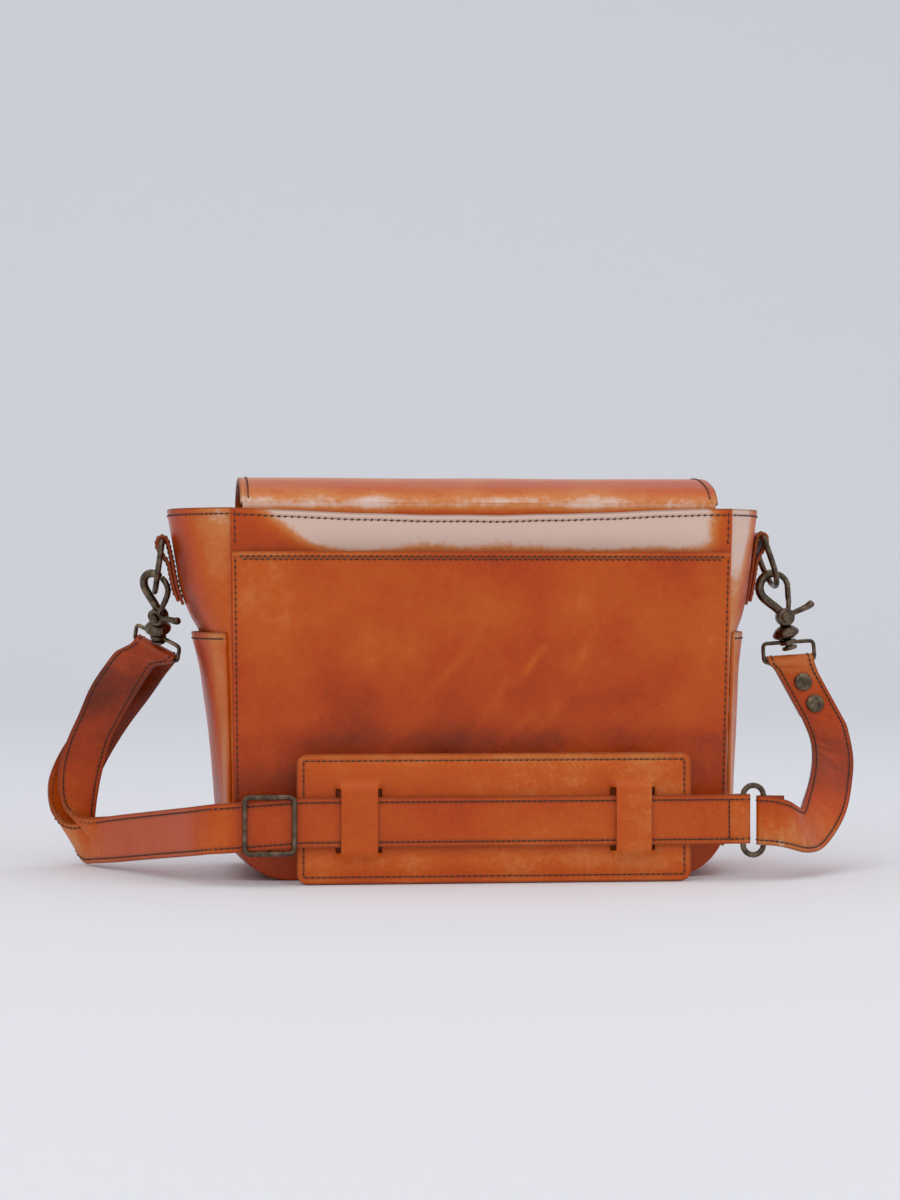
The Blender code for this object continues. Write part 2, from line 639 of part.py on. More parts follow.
def build_hook(side, word):
    hook = Hook(side)
    jaw = []
    for a in (66, 80, 95, 110, 125, 140, 155, 170, 185, 200, 214):
        turn = math.radians(a)
        jaw.append(hook.at(EYE_R * math.cos(turn), 0, EYE_HIGH + EYE_R * math.sin(turn)))
    jaw += [hook.at(u, 0, w) for u, w in ((-5.2, 27.8), (-2.6, 24.6), (0.2, 20.5), (1.2, 16.5), (0.6, 12.0),
                                          (0.0, 8.0))]
    rods = [2.0, 2.2, 2.4] + [HOOK_ROD] * (len(jaw) - 3)
    profile = [(4.2, -4.6), (4.6, -4.2), (4.6, -3.0), (2.0, -2.9), (2.0, 2.5), (4.4, 2.6), (8.2, 4.6),
               (8.4, 6.4), (6.0, 9.0), (3.4, 10.6)]
    body = put("hook_" + word, lathe(profile, hook.base, hook.up, 16), BRASS, smooth=True)
    cheek = [(5.4, -2.3), (5.4, 2.3)]
    pivot = hook.at(PIVOT[0], 0, PIVOT[1])
    join(body, put("jaw_tool_" + word, tube(jaw, rods, 10), BRASS), "UNION")
    join(body, put("cheek_tool_" + word, lathe(cheek, pivot, hook.out, 16), BRASS), "UNION")
    hole = [(PIN_R + GAP, -9), (PIN_R + GAP, 9)]
    join(body, put("hole_tool_" + word, lathe(hole, pivot, hook.out, 12), BRASS), "DIFFERENCE")

    gate_out = 4.3
    disc = [(5.2, gate_out - 1.5), (5.9, gate_out - 0.9), (5.9, gate_out + 0.9), (5.2, gate_out + 1.5)]
    gate = put("gate_" + word, lathe(disc, pivot, hook.out, 16), BRASS, smooth=True)
    arm = [hook.at(*place) for place in ((3.2, gate_out, 18.0), (5.2, gate_out, 22.0), (6.6, 3.0, 25.4),
                                         (7.6, 1.0, 29.2), (8.7, 0.1, 33.0))]
    for a in (0, 20, 40, 61):
        turn = math.radians(a)
        arm.append(hook.at(EYE_R * math.cos(turn), 0, EYE_HIGH + EYE_R * math.sin(turn)))
    lever = [hook.at(*place) for place in ((4.0, gate_out, 17.0), (9.0, gate_out, 18.0), (13.5, 4.6, 18.6),
                                           (17.5, 5.4, 19.4), (20.0, 6.2, 20.6), (21.2, 6.6, 21.4))]
    join(gate, put("arm_tool_" + word, tube(arm, [1.5, 1.6, 1.8] + [2.0] * 5 + [1.9], 10), BRASS), "UNION")
    join(gate, put("lever_tool_" + word, tube(lever, [1.4, 1.9, 2.0, 2.3, 2.6, 1.6], 10), BRASS), "UNION")
    join(gate, put("gate_hole_tool_" + word, lathe(hole, pivot, hook.out, 12), BRASS), "DIFFERENCE")

    pin = [(2.6, -3.7), (3.0, -3.4), (3.0, -2.6), (PIN_R, -2.55), (PIN_R, 6.1), (3.2, 6.15), (3.2, 6.9),
           (2.2, 7.5)]
    put("gate_pin_" + word, lathe(pin, pivot, hook.out, 14), BRASS, smooth=True)

    reach = hook.bail_across * BAIL_HALF
    frame = [hook.base - reach, hook.base + reach, hook.bail_foot + reach, hook.bail_foot - reach]
    bail = put("bail_" + word, tube(rounded(frame, 2.6), BAIL_WIRE, 10, closed=True), BRASS, smooth=True)
    boss = [(5.2, -1.5), (5.2, 1.5)]
    eyelet = [(2.6, -6), (2.6, 6)]
    join(bail, put("boss_tool_" + word, lathe(boss, hook.base, hook.up, 16), BRASS), "UNION")
    join(bail, put("eyelet_tool_" + word, lathe(eyelet, hook.base, hook.up, 12), BRASS), "DIFFERENCE")
    return hook


# ---- strap ----

# Edges of the doubled left part as the strap lies, upper or left edge first. OUTER runs from the slider
# back past the bag to the hook, INNER from the hook down again to the slider.
OUTER_RUN = (((-166, -33, 49.6), (-166, -33, 19.6)), ((-177, -20, 47.2), (-177, -20, 17.4)),
             ((-191, 8, 43.6), (-191, 8, 13.8)), ((-210, 45, 38.8), (-210, 45, 9.0)),
             ((-227, 76, 34.6), (-227, 76, 4.8)), ((-240, 96, 31.0), (-239, 98, 2.4)),
             ((-254, 105, 27.5), (-245, 110, 1.7)), ((-264, 111, 31), (-250, 119, 7)),
             ((-269, 113, 40), (-250, 122, 21)), ((-270, 113, 53), (-246, 121, 37)),
             ((-266, 112, 66), (-239, 118, 54)), ((-259, 111, 79), (-230, 114, 72)),
             ((-248, 111, 96), (-218, 110, 91)), ((-234, 110, 114), (-206, 104, 107)),
             ((-221, 108, 131), (-196, 97, 122)))
INNER_RUN = (((-226, 96, 139), (-202, 82, 130)), ((-241, 97, 118), (-212, 87, 114)),
             ((-250, 98, 98), (-221, 93, 98)), ((-257, 99, 83), (-229, 98, 83)),
             ((-262, 100, 67), (-235, 103, 62)), ((-263, 101, 55), (-238, 106, 47)),
             ((-262, 102, 46), (-240, 109, 31)), ((-257, 102, 36), (-240, 109, 14)),
             ((-246, 96, 32), (-236, 102, 6)), ((-234, 89, 33), (-232, 92, 4)),
             ((-222, 72, 35), (-222, 72, 6)), ((-205, 42, 39), (-205, 42, 10)),
             ((-187, 8, 43), (-187, 8, 14)))
# The short strap, from the oval ring up to the right hook, upper or inner edge first.
SHORT_RUN = (((176, -34, 51.6), (176, -34, 21.6)), ((185, -33, 49), (186, -32, 19.5)),
             ((193, -25, 44), (199, -23, 16)), ((199, -9, 42), (211, -9, 16.5)),
             ((206, 12, 47), (223, 5, 24)), ((213, 28, 57), (234, 18, 37)),
             ((218, 41, 69), (241, 31, 53)), ((219, 50, 82), (245, 42, 71)),
             ((214.5, 55.8, 96.3), (243.5, 53.8, 91.7)))
# The flat top of the short strap, where its two layers are riveted together.
SHORT_TOP = (((207.5, 57.1, 109.3), (236.5, 55.1, 104.7)), ((196.8, 59.0, 129.3), (225.8, 57.0, 124.7)))
RIVETS = {"upper": 0.6, "lower": -0.1}      # shares of the way up the flat top


def offset_layer(stations, distance):
    """The same strip, moved off its own face."""
    moved = []
    for i, (a, b) in enumerate(stations):
        ahead = sum(stations[min(i + 1, len(stations) - 1)], Vector())
        behind = sum(stations[max(i - 1, 0)], Vector())
        off = (ahead - behind).cross(a - b).normalized() * distance
        moved.append((a + off, b + off))
    return moved


def vectors(stations):
    return [(Vector(a), Vector(b)) for a, b in stations]


def level_rows(places, z, half):
    """Upright stations at (x, y) places."""
    return vectors([((x, y, z + half), (x, y, z - half)) for x, y in places])


def face_to(stations, like):
    """Turns stations over where their edges are the other way round from a neighbour's."""
    run = like[0] - like[1]
    return [(b, a) if (a - b).dot(run) < 0 else (a, b) for a, b in stations]


def build_shoulder_strap(hook):
    half = STRAP / 2
    bar = Vector((RING_X - OVAL_HALF[0], STRAP_Y + STRAP_THICK / 2 + 0.4 + OVAL_WIRE, STRAP_Z))
    radius = OVAL_WIRE + 0.4 + STRAP_THICK / 2
    behind = STRAP_Y + STRAP_THICK + 0.5
    tail = level_rows(((145, behind), (150, behind)), STRAP_Z, half)
    turn = wrap(bar, (0, 0, 1), (1, 0, 0), radius, half, first=-125)
    front = level_rows(((150, STRAP_Y), (-112, STRAP_Y)), STRAP_Z, half)
    front += level_rows(((SLIDER_X, STRAP_Y),), SLIDER_Z, half) + level_rows(((-160, STRAP_Y),), 34.9, half)
    outer = smooth_run(OUTER_RUN)
    inner = smooth_run(INNER_RUN)
    hang = hook.bail_foot - sum(outer[-1], Vector()) / 2
    over = wrap(hook.bail_foot, hook.bail_across, hang + Vector((0, 0, 6)), BAIL_TURN, half)
    over = face_to(over, outer[-1])
    if (over[0][0] - outer[-1][0]).length > (over[-1][0] - outer[-1][0]).length:
        over.reverse()
    whole = tail + turn + front + outer + over + inner
    put("shoulder_strap", ribbon(whole, STRAP_THICK), TAN, smooth=True)


def build_short_strap(hook):
    half = STRAP / 2
    bar = Vector((RING_X + OVAL_HALF[0], STRAP_Y + STRAP_THICK / 2 + 0.4 + OVAL_WIRE, RING_Z))
    radius = OVAL_WIRE + 0.4 + STRAP_THICK / 2
    tail = level_rows(((183, STRAP_Y + STRAP_THICK + 0.5), (178, STRAP_Y + STRAP_THICK + 0.5)), RING_Z, half)
    turn = wrap(bar, (0, 0, 1), (-1, 0, 0), radius, half, first=125, last=-90)
    rise = smooth_run(SHORT_RUN)
    top = vectors(SHORT_TOP)
    over = wrap(hook.bail_foot, hook.bail_across, hook.bail_up, BAIL_TURN, half)
    over = face_to(over, top[0])
    if over[0][0].y > over[-1][0].y:
        over.reverse()
    flat = [rise[-1]] + top
    back = list(reversed(offset_layer(flat, -STRAP_BACK)))
    whole = tail + turn + rise + top + over + back
    short = put("short_strap", ribbon(whole, STRAP_THICK), TAN, smooth=True)

    low, high = (sum(pair, Vector()) / 2 for pair in top)
    across = (top[0][0] - top[0][1]).normalized()
    out = (high - low).cross(across).normalized()
    if out.y > 0:
        out = -out
    face = STRAP_THICK / 2 + GAP
    back_face = -STRAP_BACK - face
    hole = [(2.2, -12), (2.2, 12)]
    rivet = [(3.2, back_face - 1.9), (5.2, back_face - 0.9), (5.4, back_face), (1.7, back_face + 0.05),
             (1.7, face - 0.05), (6.0, face), (5.8, face + 0.9), (3.6, face + 1.9)]
    for word, share in RIVETS.items():
        middle = low.lerp(high, share)
        join(short, put("rivet_hole_tool_" + word, lathe(hole, middle, out, 12), BRASS), "DIFFERENCE")
        put("strap_rivet_" + word, lathe(rivet, middle, out, 16), BRASS, smooth=True)


def build_slider():
    front_y = STRAP_Y - STRAP_THICK / 2 - 0.4 - SLIDER_WIRE
    bar_y = STRAP_Y + STRAP_THICK / 2 + 0.4 + LOOP_THICK + GAP + SLIDER_WIRE
    wide, high = SLIDER_HALF
    frame = [(SLIDER_X - wide, front_y, SLIDER_Z - high), (SLIDER_X + wide, front_y, SLIDER_Z - high),
             (SLIDER_X + wide, front_y, SLIDER_Z + high), (SLIDER_X - wide, front_y, SLIDER_Z + high)]
    body = put("slider_frame", tube(rounded(frame, 3.0), SLIDER_WIRE, 10, closed=True), BRASS, smooth=True)
    staple = [(SLIDER_X, front_y, SLIDER_Z - high), (SLIDER_X, bar_y - 2, SLIDER_Z - high),
              (SLIDER_X, bar_y, SLIDER_Z - high + 2), (SLIDER_X, bar_y, SLIDER_Z),
              (SLIDER_X, bar_y, SLIDER_Z + high - 2), (SLIDER_X, bar_y - 2, SLIDER_Z + high),
              (SLIDER_X, front_y, SLIDER_Z + high)]
    join(body, put("staple_tool", tube(staple, SLIDER_WIRE * 0.94, 10), BRASS), "UNION")
    half = 13.0
    radius = SLIDER_WIRE + GAP + LOOP_THICK / 2
    turn = wrap((SLIDER_X, bar_y, SLIDER_Z), (0, 0, 1), (1, 0, 0), radius, half)

    def row(x, y):
        return (Vector((x, y, SLIDER_Z + half)), Vector((x, y, SLIDER_Z - half)))

    turn = [(a, b) if a.z > b.z else (b, a) for a, b in turn]
    if turn[0][0].y > turn[-1][0].y:
        turn.reverse()
    near = bar_y - radius
    start = [row(SLIDER_X - 15, near), row(SLIDER_X - 7, near)]
    far = near + LOOP_THICK + GAP
    end = [row(SLIDER_X - 7, far + 0.4), row(SLIDER_X - 15, far + 0.1)]
    put("strap_end_loop", ribbon(start + turn + end, LOOP_THICK), TAN, smooth=True)


def build_oval_ring():
    wide, high = OVAL_HALF
    y = STRAP_Y + STRAP_THICK / 2 + 0.4 + OVAL_WIRE
    path = []
    for middle, start in ((high - wide, 0), (-(high - wide), 180)):
        for k in range(9):
            a = math.radians(start + 180 * k / 8)
            path.append((RING_X + wide * math.cos(a), y, RING_Z + middle + wide * math.sin(a)))
    put("strap_ring", tube(path, OVAL_WIRE, 10, closed=True), BRASS, smooth=True)


def build_pad():
    face_y = STRAP_Y + STRAP_THICK / 2 + 0.4
    (x0, x1), (z0, z1) = PAD_X, PAD_Z
    outline = []
    for x, z, start in ((x1, z0, -90), (x1, z1, 0), (x0, z1, 90), (x0, z0, 180)):
        heart_x = x - PAD_CORNER if x == x1 else x + PAD_CORNER
        heart_z = z - PAD_CORNER if z == z1 else z + PAD_CORNER
        for k in range(4):
            a = math.radians(start + 30 * k)
            outline.append((heart_x + PAD_CORNER * math.cos(a), heart_z + PAD_CORNER * math.sin(a)))
    windows = []
    for left, right in BRIDGES:
        x0, x1 = left - SLOT / 2, right + SLOT / 2
        z0, z1 = SLOT_Z
        windows.append([(x0, z0), (x0, z1), (x1, z1), (x1, z0)])
    face = put("shoulder_pad_face", prism(outline, face_y, face_y + PAD_FACE, windows), LIGHT_TAN)
    low, high = SLOT_Z
    for number, (left, right) in enumerate(BRIDGES):
        y = face_y
        lift = BRIDGE_LIFT
        section = [(y + 1.2, low - 7.5), (y - 0.6, low - 6.5), (y - lift, low - 0.5), (y - lift, high + 0.5),
                   (y - 0.6, high + 6.5), (y + 1.2, high + 7.5), (y + 1.2, high + 3.8),
                   (y - lift + PAD_FACE, high - 1.0), (y - lift + PAD_FACE, low + 1.0), (y + 1.2, low - 3.8)]
        rings = [[(x, py, pz) for py, pz in section] for x in (left + SLOT / 2, right - SLOT / 2)]
        join(face, put("bridge_tool_%d" % number, loft(rings), LIGHT_TAN), "UNION")
    back_y = face_y + PAD_FACE + GAP
    put("shoulder_pad_back", prism(outline, back_y, back_y + PAD_BACK), LIGHT_TAN)


build_body()
build_flap()
build_insert()
build_ring(-1, "left")
build_ring(1, "right")
left_hook = build_hook(-1, "left")
right_hook = build_hook(1, "right")
build_shoulder_strap(left_hook)
build_short_strap(right_hook)
build_slider()
build_oval_ring()
build_pad()
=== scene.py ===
# %% [markdown]
# # A leather camera bag with a slotted shoulder pad
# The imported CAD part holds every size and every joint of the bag. This script dresses it: it lays soft leather,
# sewing, brass and cloth over those solids and never moves them. Lengths are written in millimetres, as a maker
# measures, with y counted from the back face of the bag, and are turned into metres when a mesh is made.

# %% The frame
import math

import bmesh
import bpy
import numpy as np
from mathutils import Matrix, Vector, noise


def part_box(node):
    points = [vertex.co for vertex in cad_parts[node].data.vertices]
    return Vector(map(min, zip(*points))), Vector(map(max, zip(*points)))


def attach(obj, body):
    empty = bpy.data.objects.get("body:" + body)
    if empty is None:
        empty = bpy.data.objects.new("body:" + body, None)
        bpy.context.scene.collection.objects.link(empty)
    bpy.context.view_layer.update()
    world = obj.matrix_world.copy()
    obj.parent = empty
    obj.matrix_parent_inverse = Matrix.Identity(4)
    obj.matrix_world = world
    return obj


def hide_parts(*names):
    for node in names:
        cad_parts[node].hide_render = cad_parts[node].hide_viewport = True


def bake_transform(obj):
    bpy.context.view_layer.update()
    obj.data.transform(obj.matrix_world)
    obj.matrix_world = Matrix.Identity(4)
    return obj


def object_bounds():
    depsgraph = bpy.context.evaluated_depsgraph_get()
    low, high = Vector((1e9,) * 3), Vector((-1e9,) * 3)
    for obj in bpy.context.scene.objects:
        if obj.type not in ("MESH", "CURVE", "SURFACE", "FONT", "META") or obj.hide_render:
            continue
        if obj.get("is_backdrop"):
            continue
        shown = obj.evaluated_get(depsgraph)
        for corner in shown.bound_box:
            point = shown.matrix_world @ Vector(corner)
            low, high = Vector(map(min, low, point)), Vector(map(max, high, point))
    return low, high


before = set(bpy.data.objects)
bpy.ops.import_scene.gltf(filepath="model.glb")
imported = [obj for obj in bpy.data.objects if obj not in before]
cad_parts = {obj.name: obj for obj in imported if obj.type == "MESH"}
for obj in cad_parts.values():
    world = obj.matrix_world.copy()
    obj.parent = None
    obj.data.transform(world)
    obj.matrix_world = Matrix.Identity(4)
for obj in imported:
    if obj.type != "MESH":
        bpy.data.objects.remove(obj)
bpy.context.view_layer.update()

MM = 0.001
HOME = np.array((0.0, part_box("back_panel")[0].y / MM, 0.0))

# %% [markdown]
# ## Camera, floor and light
# The bag stands on a seamless pale sweep with its back to the camera, which looks level at it, turned by six
# degrees. A large soft light hangs above, a second one stands at the left of the camera and a faint one at the
# right. A pale world gives most of the light and fills the shadows.

# %% Camera
scene = bpy.context.scene
CAMERA_AT = (-0.1973, -1.7486, 0.172)
CAMERA_ALONG = Vector((0.1045, 0.9945, 0.0))
camera = bpy.data.objects.new("camera", bpy.data.cameras.new("camera"))
scene.collection.objects.link(camera)
camera.location = CAMERA_AT
camera.rotation_euler = CAMERA_ALONG.to_track_quat("-Z", "Y").to_euler()
camera.data.lens = 82.5
camera.data.sensor_width = 36.0
scene.camera = camera
scene.view_settings.view_transform = "Standard"


# %% Shader maths
class Wire:
    """A socket that adds Math nodes when it is used in a sum."""

    def __init__(self, tree, socket):
        self.tree, self.socket = tree, socket

    def math(self, operation, *others):
        first, *rest = others
        return self.tree.add("ShaderNodeMath", {"operation": operation}, first, *rest)

    def __add__(self, other): return self.math("ADD", self, other)
    def __radd__(self, other): return self.math("ADD", other, self)
    def __sub__(self, other): return self.math("SUBTRACT", self, other)
    def __rsub__(self, other): return self.math("SUBTRACT", other, self)
    def __mul__(self, other): return self.math("MULTIPLY", self, other)
    def __rmul__(self, other): return self.math("MULTIPLY", other, self)

    def step(self, low, high):
        """0 below low and 1 above high, with a smooth rise between."""
        return self.tree.add("ShaderNodeMapRange", {"interpolation_type": "SMOOTHSTEP"}, self, low, high)


# %% Materials as trees of nodes
class Tree:
    """Adds nodes to a material: the settings first, then values or links for the inputs."""

    def __init__(self, name):
        self.material = bpy.data.materials.new(name)
        self.material.use_nodes = True
        self.nodes = self.material.node_tree.nodes
        self.links = self.material.node_tree.links
        self.shader = self.nodes["Principled BSDF"]
        self.place = Wire(self, self.nodes.new("ShaderNodeTexCoord").outputs["Object"])

    def add(self, kind, settings, *values, out=0, **named):
        node = self.nodes.new(kind)
        for name, value in settings.items():
            setattr(node, name, value)
        for key, value in list(enumerate(values)) + list(named.items()):
            self.feed(node.inputs[key], value)
        return Wire(self, node.outputs[out])

    def feed(self, socket, value):
        if isinstance(value, Wire):
            self.links.new(value.socket, socket)
        elif value is not None:
            socket.default_value = value

    def noise(self, scale, detail=3.0, rough=0.5, stretch=None):
        place = self.place
        if stretch:
            place = self.add("ShaderNodeVectorMath", {"operation": "MULTIPLY"}, place, stretch)
        return self.add("ShaderNodeTexNoise", {}, place, Scale=scale, Detail=detail, Roughness=rough)

    def attribute(self, name):
        node = self.nodes.new("ShaderNodeAttribute")
        node.attribute_name = name
        return Wire(self, node.outputs["Fac"])

    def ramp(self, factor, stops):
        node = self.nodes.new("ShaderNodeValToRGB")
        ramp = node.color_ramp
        for place, colour in stops[1:-1]:
            ramp.elements.new(place).color = (*colour, 1)
        ramp.elements[0].position, ramp.elements[0].color = stops[0][0], (*stops[0][1], 1)
        ramp.elements[-1].position, ramp.elements[-1].color = stops[-1][0], (*stops[-1][1], 1)
        self.feed(node.inputs[0], factor)
        return Wire(self, node.outputs[0])

    def mix(self, factor, first, second):
        node = self.nodes.new("ShaderNodeMix")
        node.data_type = "RGBA"
        for key, value in ((0, factor), (6, first), (7, second)):
            self.feed(node.inputs[key], (*value, 1) if isinstance(value, tuple) else value)
        return Wire(self, node.outputs[2])

    def bump(self, height, strength, distance, under=None):
        return self.add("ShaderNodeBump", {}, Strength=strength, Distance=distance, Height=height, Normal=under)


# %% [markdown]
# ## Floor and backdrop
# A sweep of studio paper: flat under the bag, curved up behind it, one colour all over.

# %% Sweep and lights
def plain(name, colour, roughness=0.9):
    tree = Tree(name)
    tree.shader.inputs["Base Color"].default_value = (*colour, 1)
    tree.shader.inputs["Roughness"].default_value = roughness
    return tree.material


def make_sweep():
    half, near, bend, high, turn = 30.0, -40.0, 2.6, 6.0, 1.6
    line = [(near, 0.0), (bend, 0.0)]
    line += [(bend + turn * math.sin(a), turn * (1 - math.cos(a))) for a in np.linspace(0.05, math.pi / 2, 24)]
    line.append((bend + turn, high))
    mesh = bpy.data.meshes.new("sweep")
    verts = [(x, y, z) for y, z in line for x in (-half, half)]
    faces = [(2 * i, 2 * i + 1, 2 * i + 3, 2 * i + 2) for i in range(len(line) - 1)]
    mesh.from_pydata(verts, [], faces)
    mesh.shade_smooth()
    mesh.materials.append(plain("paper", SWEEP_COLOUR))
    made = bpy.data.objects.new("sweep", mesh)
    scene.collection.objects.link(made)
    made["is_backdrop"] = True


def soft_light(name, place, aim, size, watts, colour=(1, 1, 1)):
    lamp = bpy.data.lights.new(name, "AREA")
    lamp.shape, lamp.size, lamp.size_y = "RECTANGLE", size[0], size[1]
    lamp.energy, lamp.color = watts, colour
    made = bpy.data.objects.new(name, lamp)
    made.location = place
    made.rotation_euler = (Vector(aim) - Vector(place)).to_track_quat("-Z", "Y").to_euler()
    scene.collection.objects.link(made)


SWEEP_COLOUR = (0.84, 0.85, 0.885)
make_sweep()
world = bpy.data.worlds.new("room")
world.use_nodes = True
world.node_tree.nodes["Background"].inputs["Color"].default_value = (0.97, 0.975, 1.0, 1)
world.node_tree.nodes["Background"].inputs["Strength"].default_value = 0.73
scene.world = world
soft_light("overhead", (0.2, -0.5, 2.6), (0, 0, 0.1), (2.6, 2.0), 11)
soft_light("window", (-1.5, -1.9, 1.7), (0, 0, 0.15), (1.6, 1.4), 8, (1.0, 0.98, 0.95))
soft_light("filler", (1.9, -1.2, 1.2), (0, 0, 0.1), (1.2, 1.2), 4)

# %% [markdown]
# ## Leather
# Waxed full-grain leather goes paler where it is rubbed and darker where the wax lies. One recipe does for every
# piece, with a little more mottle or shine for some. An attribute called tone, worked out for each point, picks a
# place between deep brown, rust, pale tan and a pale pinkish sheen. Besides the leather's own patches, the tone
# carries painted light: a painted highlight where a piece bends, painted sheen at its pale pinkish end and
# painted shade where it is lowered. An attribute called edge gives the distance in millimetres to the cut edge,
# so that the burnished edge and the pressed groove under the sewing follow the shape. Fine noise and small cells
# make the grain and the pores.


# %% Leather finishes
def leather_finish(name, stops, shine=0.36, mottle=0.55, lift=0.0):
    tree = Tree(name)
    edge, tone = tree.attribute("edge"), tree.attribute("tone")
    clouds = tree.noise(13.0, 4.0, 0.62)
    broad = tree.noise(4.5, 2.0, 0.5)
    streaks = tree.noise(26.0, 3.0, 0.6, stretch=(1.0, 1.0, 0.35))
    fine = tree.noise(260.0, 4.0, 0.65)
    patches = tree.noise(62.0, 3.0, 0.6)
    ridges = tree.noise(85.0, 4.0, 0.6)
    wrinkles = (1.0 - ridges.math("ABSOLUTE", ridges - 0.5).step(0.0, 0.022)) * broad.step(0.46, 0.62)
    shade = 0.5 + lift + tone * 0.34 + (clouds - 0.5) * mottle + (broad - 0.5) * 0.28 + (streaks - 0.5) * 0.22 \
        + (patches - 0.5) * 0.14 + (fine - 0.5) * 0.2 + wrinkles * 0.08
    colour = tree.ramp(shade, stops)
    burnish = 1.0 - edge.step(0.2, 1.7)
    groove = edge.step(2.3, 3.2) * (1.0 - edge.step(4.0, 5.2))
    colour = tree.mix(groove * 0.22, colour, (0.14, 0.030, 0.006))
    colour = tree.mix(burnish * 0.5, colour, (0.10, 0.026, 0.008))
    tree.feed(tree.shader.inputs["Base Color"], colour)
    roughness = (clouds - 0.5) * 0.2 + (fine - 0.5) * 0.2 + shine + burnish * 0.1
    tree.feed(tree.shader.inputs["Roughness"], roughness)
    tree.shader.inputs["Specular IOR Level"].default_value = 0.26
    tree.shader.inputs["Coat Roughness"].default_value = 0.3
    tree.shader.inputs["Coat Weight"].default_value = 0.06
    grain = tree.add("ShaderNodeTexVoronoi", {"feature": "DISTANCE_TO_EDGE"}, tree.place, Scale=900.0)
    under = tree.bump(grain, 0.10, 0.0002)
    under = tree.bump(fine, 0.4, 0.0007, under)
    under = tree.bump(wrinkles, 0.16, 0.0004, under)
    under = tree.bump(clouds, 0.20, 0.004, under)
    tree.feed(tree.shader.inputs["Normal"], tree.bump(groove, -0.25, 0.0008, under))
    return tree.material


# The last stop is not a colour of the leather: it paints the pale pinkish sheen of reflected light.
DEEP, BROWN, RUST, AMBER, PALE, PAINTED_SHEEN = ((0.060, 0.007, 0.001), (0.22, 0.023, 0.001), (0.47, 0.053, 0.001),
                                       (0.55, 0.092, 0.003), (0.62, 0.205, 0.050), (0.72, 0.51, 0.42))
STOPS = ((0.0, DEEP), (0.18, BROWN), (0.45, RUST), (0.66, AMBER), (0.86, PALE), (1.0, PAINTED_SHEEN))
TAN = leather_finish("tan leather", STOPS)
PULL_UP = leather_finish("tan leather pull-up", STOPS, shine=0.34, mottle=0.7)
RUBBED = leather_finish("tan leather rubbed", STOPS, shine=0.34, mottle=0.22)
PAD_TAN = leather_finish("pad leather", STOPS, shine=0.42, mottle=0.3, lift=0.03)


# %% Brass, thread and cloth finishes
def brass_finish():
    tree = Tree("antique brass")
    cloud = tree.noise(190.0, 4.0, 0.6)
    fine = tree.noise(900.0, 2.0, 0.6)
    colour = tree.ramp(cloud + (fine - 0.5) * 0.3, ((0.25, (0.040, 0.029, 0.021)), (0.5, (0.115, 0.085, 0.058)),
                                                    (0.8, (0.30, 0.225, 0.15))))
    tree.feed(tree.shader.inputs["Base Color"], colour)
    tree.feed(tree.shader.inputs["Roughness"], 0.30 + (cloud - 0.5) * 0.3)
    tree.shader.inputs["Metallic"].default_value = 1.0
    tree.feed(tree.shader.inputs["Normal"], tree.bump(fine, 0.12, 0.0004))
    return tree.material


def thread_finish(name, dark, light):
    tree = Tree(name)
    twist = tree.noise(1500.0, 1.0, 0.5)
    tree.feed(tree.shader.inputs["Base Color"], tree.mix(twist.step(0.42, 0.6), dark, light))
    tree.shader.inputs["Roughness"].default_value = 0.7
    return tree.material


def cloth_finish(name, dark, light):
    tree = Tree(name)
    nap = tree.noise(420.0, 3.0, 0.7)
    cloud = tree.noise(30.0, 3.0, 0.5)
    tree.feed(tree.shader.inputs["Base Color"], tree.mix(nap * 0.5 + cloud * 0.5, dark, light))
    tree.shader.inputs["Roughness"].default_value = 0.95
    tree.shader.inputs["Sheen Weight"].default_value = 0.35
    tree.feed(tree.shader.inputs["Normal"], tree.bump(nap, 0.35, 0.0008))
    return tree.material


BRASS = brass_finish()
THREAD = thread_finish("waxed thread", (0.030, 0.010, 0.005), (0.11, 0.040, 0.018))
# The needle holes are near-black dots that paint the shade inside each hole.
NEEDLE_HOLE_SHADE = plain("needle hole", (0.015, 0.006, 0.003), 0.9)
CLOTH = cloth_finish("insert cloth", (0.10, 0.066, 0.042), (0.24, 0.165, 0.11))

# %% [markdown]
# ## Sheets of leather
# Every leather piece is a grid of points: rows and columns over its outer face. From the grid come the normals,
# the distance to each edge for the burnish and the groove, and the lines that the sewing follows. Solidify then
# gives the sheet its thickness and Bevel rounds the cut edges, as a leather worker rounds them.


# %% The grid
def unit(v):
    return v / (np.linalg.norm(v, axis=-1, keepdims=True) + 1e-12)


